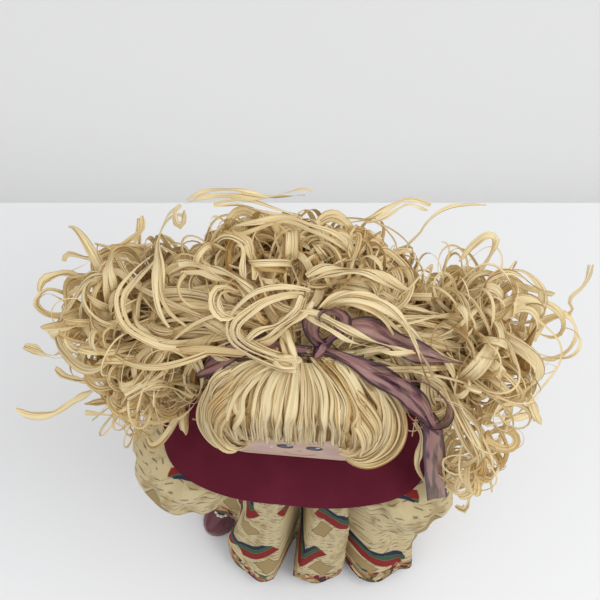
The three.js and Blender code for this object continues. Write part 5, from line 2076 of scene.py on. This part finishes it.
@dataclass
class Sleeve:
    """A puffed sleeve between the armhole and the cuff.

    Bulge and hang are how its middle line leaves the armhole and how it reaches the cuff.
    """

    dress: Dress
    side: Side
    size: Pair = (0.26, 0.13)
    girth: float = 45.0
    armhole: float = 16.0
    cuff: float = 15.0
    flare: float = 21.0
    gathers: int = 22
    hand: Point = (34.0, -50.0, -106.0)
    cuff_share: float = 0.76
    bulge: Point = (52.0, -14.0, -14.0)
    hang: Point = (8.0, -4.0, 62.0)
    wall_gap: float = 0.3
    cape_gap: float = 1.3

    def radius(self, v: Array) -> Array:
        """Gives the sleeve's radius.

        Args:
            v: The share of its length, from the armhole on.

        Returns:
            The radius there.
        """
        marks = (0, 0.14, 0.4, 0.64, 0.84, 0.94, 1)
        cloth = self.dress.cloth
        puff = [self.girth * share for share in (0.68, 1.0, 0.95, 0.86)]
        sizes = (self.armhole + cloth, *puff, self.cuff + cloth, self.flare + cloth)
        place = np.clip(np.searchsorted(marks, v) - 1, 0, len(marks) - 2)
        low, high = np.array(marks)[place], np.array(marks)[place + 1]
        before, after = np.array(sizes)[place], np.array(sizes)[place + 1]
        return lerp(before, after, smooth((v - low) / (high - low)))

    def cape_above(self, x: Array, y: Array) -> Array:
        """Finds the height of the cape over points of the plan.

        Args:
            x: Their places in X.
            y: Their places in Y.

        Returns:
            The height of its upper face.
        """
        dress, neck = self.dress, self.dress.neck_radius
        out = np.zeros_like(x)
        for _ in range(8):
            ahead = y - dress.cape_middle * out
            angle = np.arctan2(ahead, x)
            out = np.maximum(0, (np.hypot(x, ahead) - neck) / (dress.cape_edge(angle) - neck))
        return dress.cape_level(angle, out)

    def build(self, material: Material) -> Thing:
        """Makes the sleeve, which bends between the body and the arm.

        Args:
            material: Its material.

        Returns:
            The piece.
        """
        sign, cloth = self.side.sign, self.dress.cloth
        half_width, half_depth = self.dress.bodice_half
        pivot = np.array(self.dress.shoulder)
        start = np.array([half_width + self.wall_gap, pivot[1], pivot[2]])
        wrist = pivot + np.array(self.hand) * self.cuff_share
        bend = (start + np.array(self.bulge), wrist + np.array(self.hang))
        angle, v = tube(60, 132)
        t = v[:, :1]
        middle = start * (1 - t) ** 3 + 3 * bend[0] * t * (1 - t) ** 2
        middle = middle + 3 * bend[1] * t**2 * (1 - t) + wrist * t**3
        along = unit(np.gradient(middle, axis=0))
        forward = unit(np.array([[0.0, 1.0, 0.0]]) - along[:, 1:2] * along)
        up = np.cross(forward, along)
        ends = (0.25 + 0.75 * np.abs(2 * v - 1)) * np.sin(math.pi * np.minimum(1, 7 * v)) ** 0.5
        phase = self.gathers * angle + 2.2 * np.sin(3 * angle) + 3 * v
        pleats = 0.03 - 0.07 * ends * (1 + np.sin(phase))
        waves = ((0.06, 4, 7, 0.5 + sign), (0.08, 7, -14, 1.1), (0.05, 11, 17, 2.0))
        body = np.minimum(ripples(angle, v, waves), 0.025) * np.sin(math.pi * v) ** 0.7
        skins = []
        for depth in (0, 1):
            radius = self.radius(v) * (0.985 + pleats + body) - depth * cloth
            ring = middle[:, None, :] + forward[:, None, :] * (radius * np.cos(angle))[..., None]
            ring = ring + up[:, None, :] * (radius * np.sin(angle))[..., None]
            x, y, z = (ring[..., k] for k in range(3))
            share = np.minimum(0.98, np.abs(y) / half_depth)
            wall = half_width * (1 - share**6) ** (1 / 6) + self.wall_gap
            x[:] = np.where(v == 0, wall, np.maximum(x, wall + cloth * (1 - depth)))
            under_cape = self.cape_above(sign * x, y) - cloth * (1 + depth) - self.cape_gap
            z[:] = np.minimum(z, under_cape)
            x *= sign
            skins.append(ring)
        width, length = self.size
        cut = np.stack([angle / (2 * math.pi) * width + 0.013, v * length + 0.33], axis=-1)
        piece = shell(f"sleeve_{self.side.label}_cloth", skins, cut, material)
        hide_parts(f"sleeve_{self.side.label}")
        first, last = (
            tuple(float(c) for c in point * np.array([sign, 1, 1]) * MM)
            for point in (start, 0.5 * (start + wrist))
        )
        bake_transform(piece)
        return piece


@dataclass
class Timber:
    """The wooden pieces, which keep their solids and get their finish."""

    nodes: Mapping[str, Thing]
    pine: tuple[str, ...] = ("torso", "neck_dowel")
    pine_pairs: tuple[str, ...] = ("leg", "arm", "shoulder_peg")

    def dress(self) -> list[Thing]:
        """Gives each wooden solid its finish.

        Returns:
            The solids.
        """
        pine, paint = PineFinish().material(), ShoeFinish().material()
        looks = {name: pine for name in self.pine}
        looks |= {f"{name}_{side.label}": pine for name in self.pine_pairs for side in Side}
        looks |= {"head": FaceFinish().material(), "shoe_right": paint, "shoe_left": paint}
        for name, material in looks.items():
            mesh = self.nodes[name].data
            mesh.materials.clear()
            mesh.materials.append(material)
            mesh.shade_smooth()
            mesh.set_sharp_from_angle(angle=math.radians(34))
        return [self.nodes[name] for name in looks]


@dataclass
class BeadTrim:
    """White beads on a cord round the throat of each shoe."""

    beads: int = 22
    bead_radius: float = 1.7
    throat_middle: float = -9.0
    half_length: float = 29.0
    half_width: float = 12.0
    length: float = 84.0
    width: float = 35.0
    height: float = 36.0
    toe_height: float = 21.0
    heel: float = 28.0
    ankle: Pair = (58.0, -6.0)
    toe_out: float = math.radians(32)

    def top(self, x: float, from_heel: float) -> float:
        """Returns the height of the shoe's skin over a point of its sole.

        Args:
            x: The point's distance from the sole's middle line.
            from_heel: Its distance from the back of the heel.

        Returns:
            The height above the floor.
        """
        t = min(1.0, max(0.0, from_heel / self.length))
        heel = math.sqrt(1 - (1 - min(1, t / 0.2)) ** 2)
        toe = math.sqrt(1 - max(0.0, (t - 0.72) / 0.28) ** 2)
        waist = 0.86 + 0.14 * smooth((t - 0.3) / 0.4)
        instep = lerp(self.height, self.toe_height, smooth((t - 0.42) / 0.42))
        half = max(1.2, self.width / 2 * waist * min(heel, toe))
        height = instep * (0.55 + 0.45 * min(heel, toe))
        return height * math.sqrt(1 - min(1.0, abs(x) / half) ** 3)

    def at(self, share: float) -> Array:
        """Finds a point of the trim's line.

        Args:
            share: Its share of the way round the throat.

        Returns:
            The point, in the shoe's own frame.
        """
        a = 2 * math.pi * share
        x = self.half_width * math.sin(a)
        y = self.throat_middle - self.half_length * math.cos(a)
        return np.array([x, y, self.top(x, self.heel - y) + self.bead_radius + 0.2])

    def build(self, side: Side, material: Material) -> Thing:
        """Makes the trim of one shoe, with every other bead smaller.

        Args:
            side: The shoe's side.
            material: The beads' material.

        Returns:
            The piece.
        """
        bead, _, _, net_faces = globe(8, 12)
        points, faces = [], []
        for k in range(2 * self.beads):
            size = 1.0 if k % 2 == 0 else 0.55
            points.append(self.at(k / (2 * self.beads)) + self.bead_radius * size * bead)
            faces += [tuple(k * len(bead) + c for c in face) for face in net_faces]
        x, y, z = np.concatenate(points).T
        c, s = math.cos(self.toe_out), side.sign * math.sin(self.toe_out)
        turned = np.stack([x * c - y * s, x * s + y * c, z], axis=1)
        turned += np.array([side.sign * self.ankle[0], self.ankle[1], 0])
        piece = make_object(f"shoe_{side.label}_beads", turned, faces, material)
        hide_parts(f"shoe_trim_{side.label}")
        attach(piece, "figure")
        return piece


@dataclass
class Studio:
    """The pale table and the floor beyond it, the soft lights and the camera."""

    camera_place: Point = (0.0219, -0.250, 1.165)
    camera_turn: Point = (21.5, 0.0, 5.0)
    lens: float = 69.0
    table_back: float = 0.3255
    table_turn: float = math.radians(5)
    floor_level: float = -0.25

    def build(self) -> None:
        """Makes everything that isn't the doll."""
        scene = bpy.context.scene
        scene.view_settings.view_transform = "Standard"
        data = bpy.data.cameras.new("camera")
        data.lens, data.sensor_width = self.lens, 36.0
        camera = bpy.data.objects.new("camera", data)
        camera.location = self.camera_place
        camera.rotation_euler = [math.radians(a) for a in self.camera_turn]
        scene.collection.objects.link(camera)
        scene.camera = camera
        self._lights()
        self._stage()

    def _lights(self) -> None:
        """Hangs two soft lamps and sets the sky."""
        lamps = (
            ("key", (1.0, -0.25, 1.8), (8.0, 30.0, 0.0), 1.3, 16.5),
            ("fill", (-1.1, -0.6, 1.5), (20.0, -34.0, 0.0), 1.6, 5.0),
        )
        for name, place, angles, size, power in lamps:
            data = bpy.data.lights.new(name, "AREA")
            data.energy, data.size = power, size
            lamp = bpy.data.objects.new(name, data)
            lamp.location = place
            lamp.rotation_euler = [math.radians(a) for a in angles]
            bpy.context.scene.collection.objects.link(lamp)
        world = bpy.data.worlds.new("sky")
        world.use_nodes = True
        ground = world.node_tree.nodes["Background"]
        ground.inputs["Color"].default_value = (0.98, 0.985, 1.0, 1.0)
        ground.inputs["Strength"].default_value = 0.72
        bpy.context.scene.world = world

    def _stage(self) -> None:
        """Makes the table top and the floor that shows beyond its back edge."""
        c, s = math.cos(self.table_turn), math.sin(self.table_turn)
        looks = (
            ("table", 0.0, 2.5, self.table_back, (0.83, 0.835, 0.84)),
            ("floor", self.floor_level, 6.0, 6.0, (0.84, 0.84, 0.835)),
        )
        for name, level, half, back, colour in looks:
            plan = ((-half, -half), (half, -half), (half, back), (-half, back))
            paint = Paint(f"{name}_paint")
            cloud = paint.noise(paint.place(), 3.0)
            shade = paint.mix(cloud * 0.3, colour, tuple(0.96 * value for value in colour))
            material = paint.surface({"Base Color": shade, "Roughness": 0.7})
            turned = [(x * c - y * s, x * s + y * c, level) for x, y in plan]
            make_object(name, np.array(turned) / MM, [(0, 1, 2, 3)], material)


def main() -> None:
    """Builds the doll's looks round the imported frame."""
    logging.basicConfig(level=logging.INFO, format="%(message)s")
    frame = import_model()
    Studio().build()
    head = Head()
    pieces = Timber(frame["nodes"]).dress()
    beads = TrimFinish().material()
    pieces += [BeadTrim().build(side, beads) for side in Side]
    pieces += Dress().build()
    pieces += Hair(head).build()
    pieces += Ribbon().build()
    for piece in pieces:
        LOG.info("%s: %d faces", piece.name, len(piece.data.polygons))


if __name__ == "__main__":
    main()
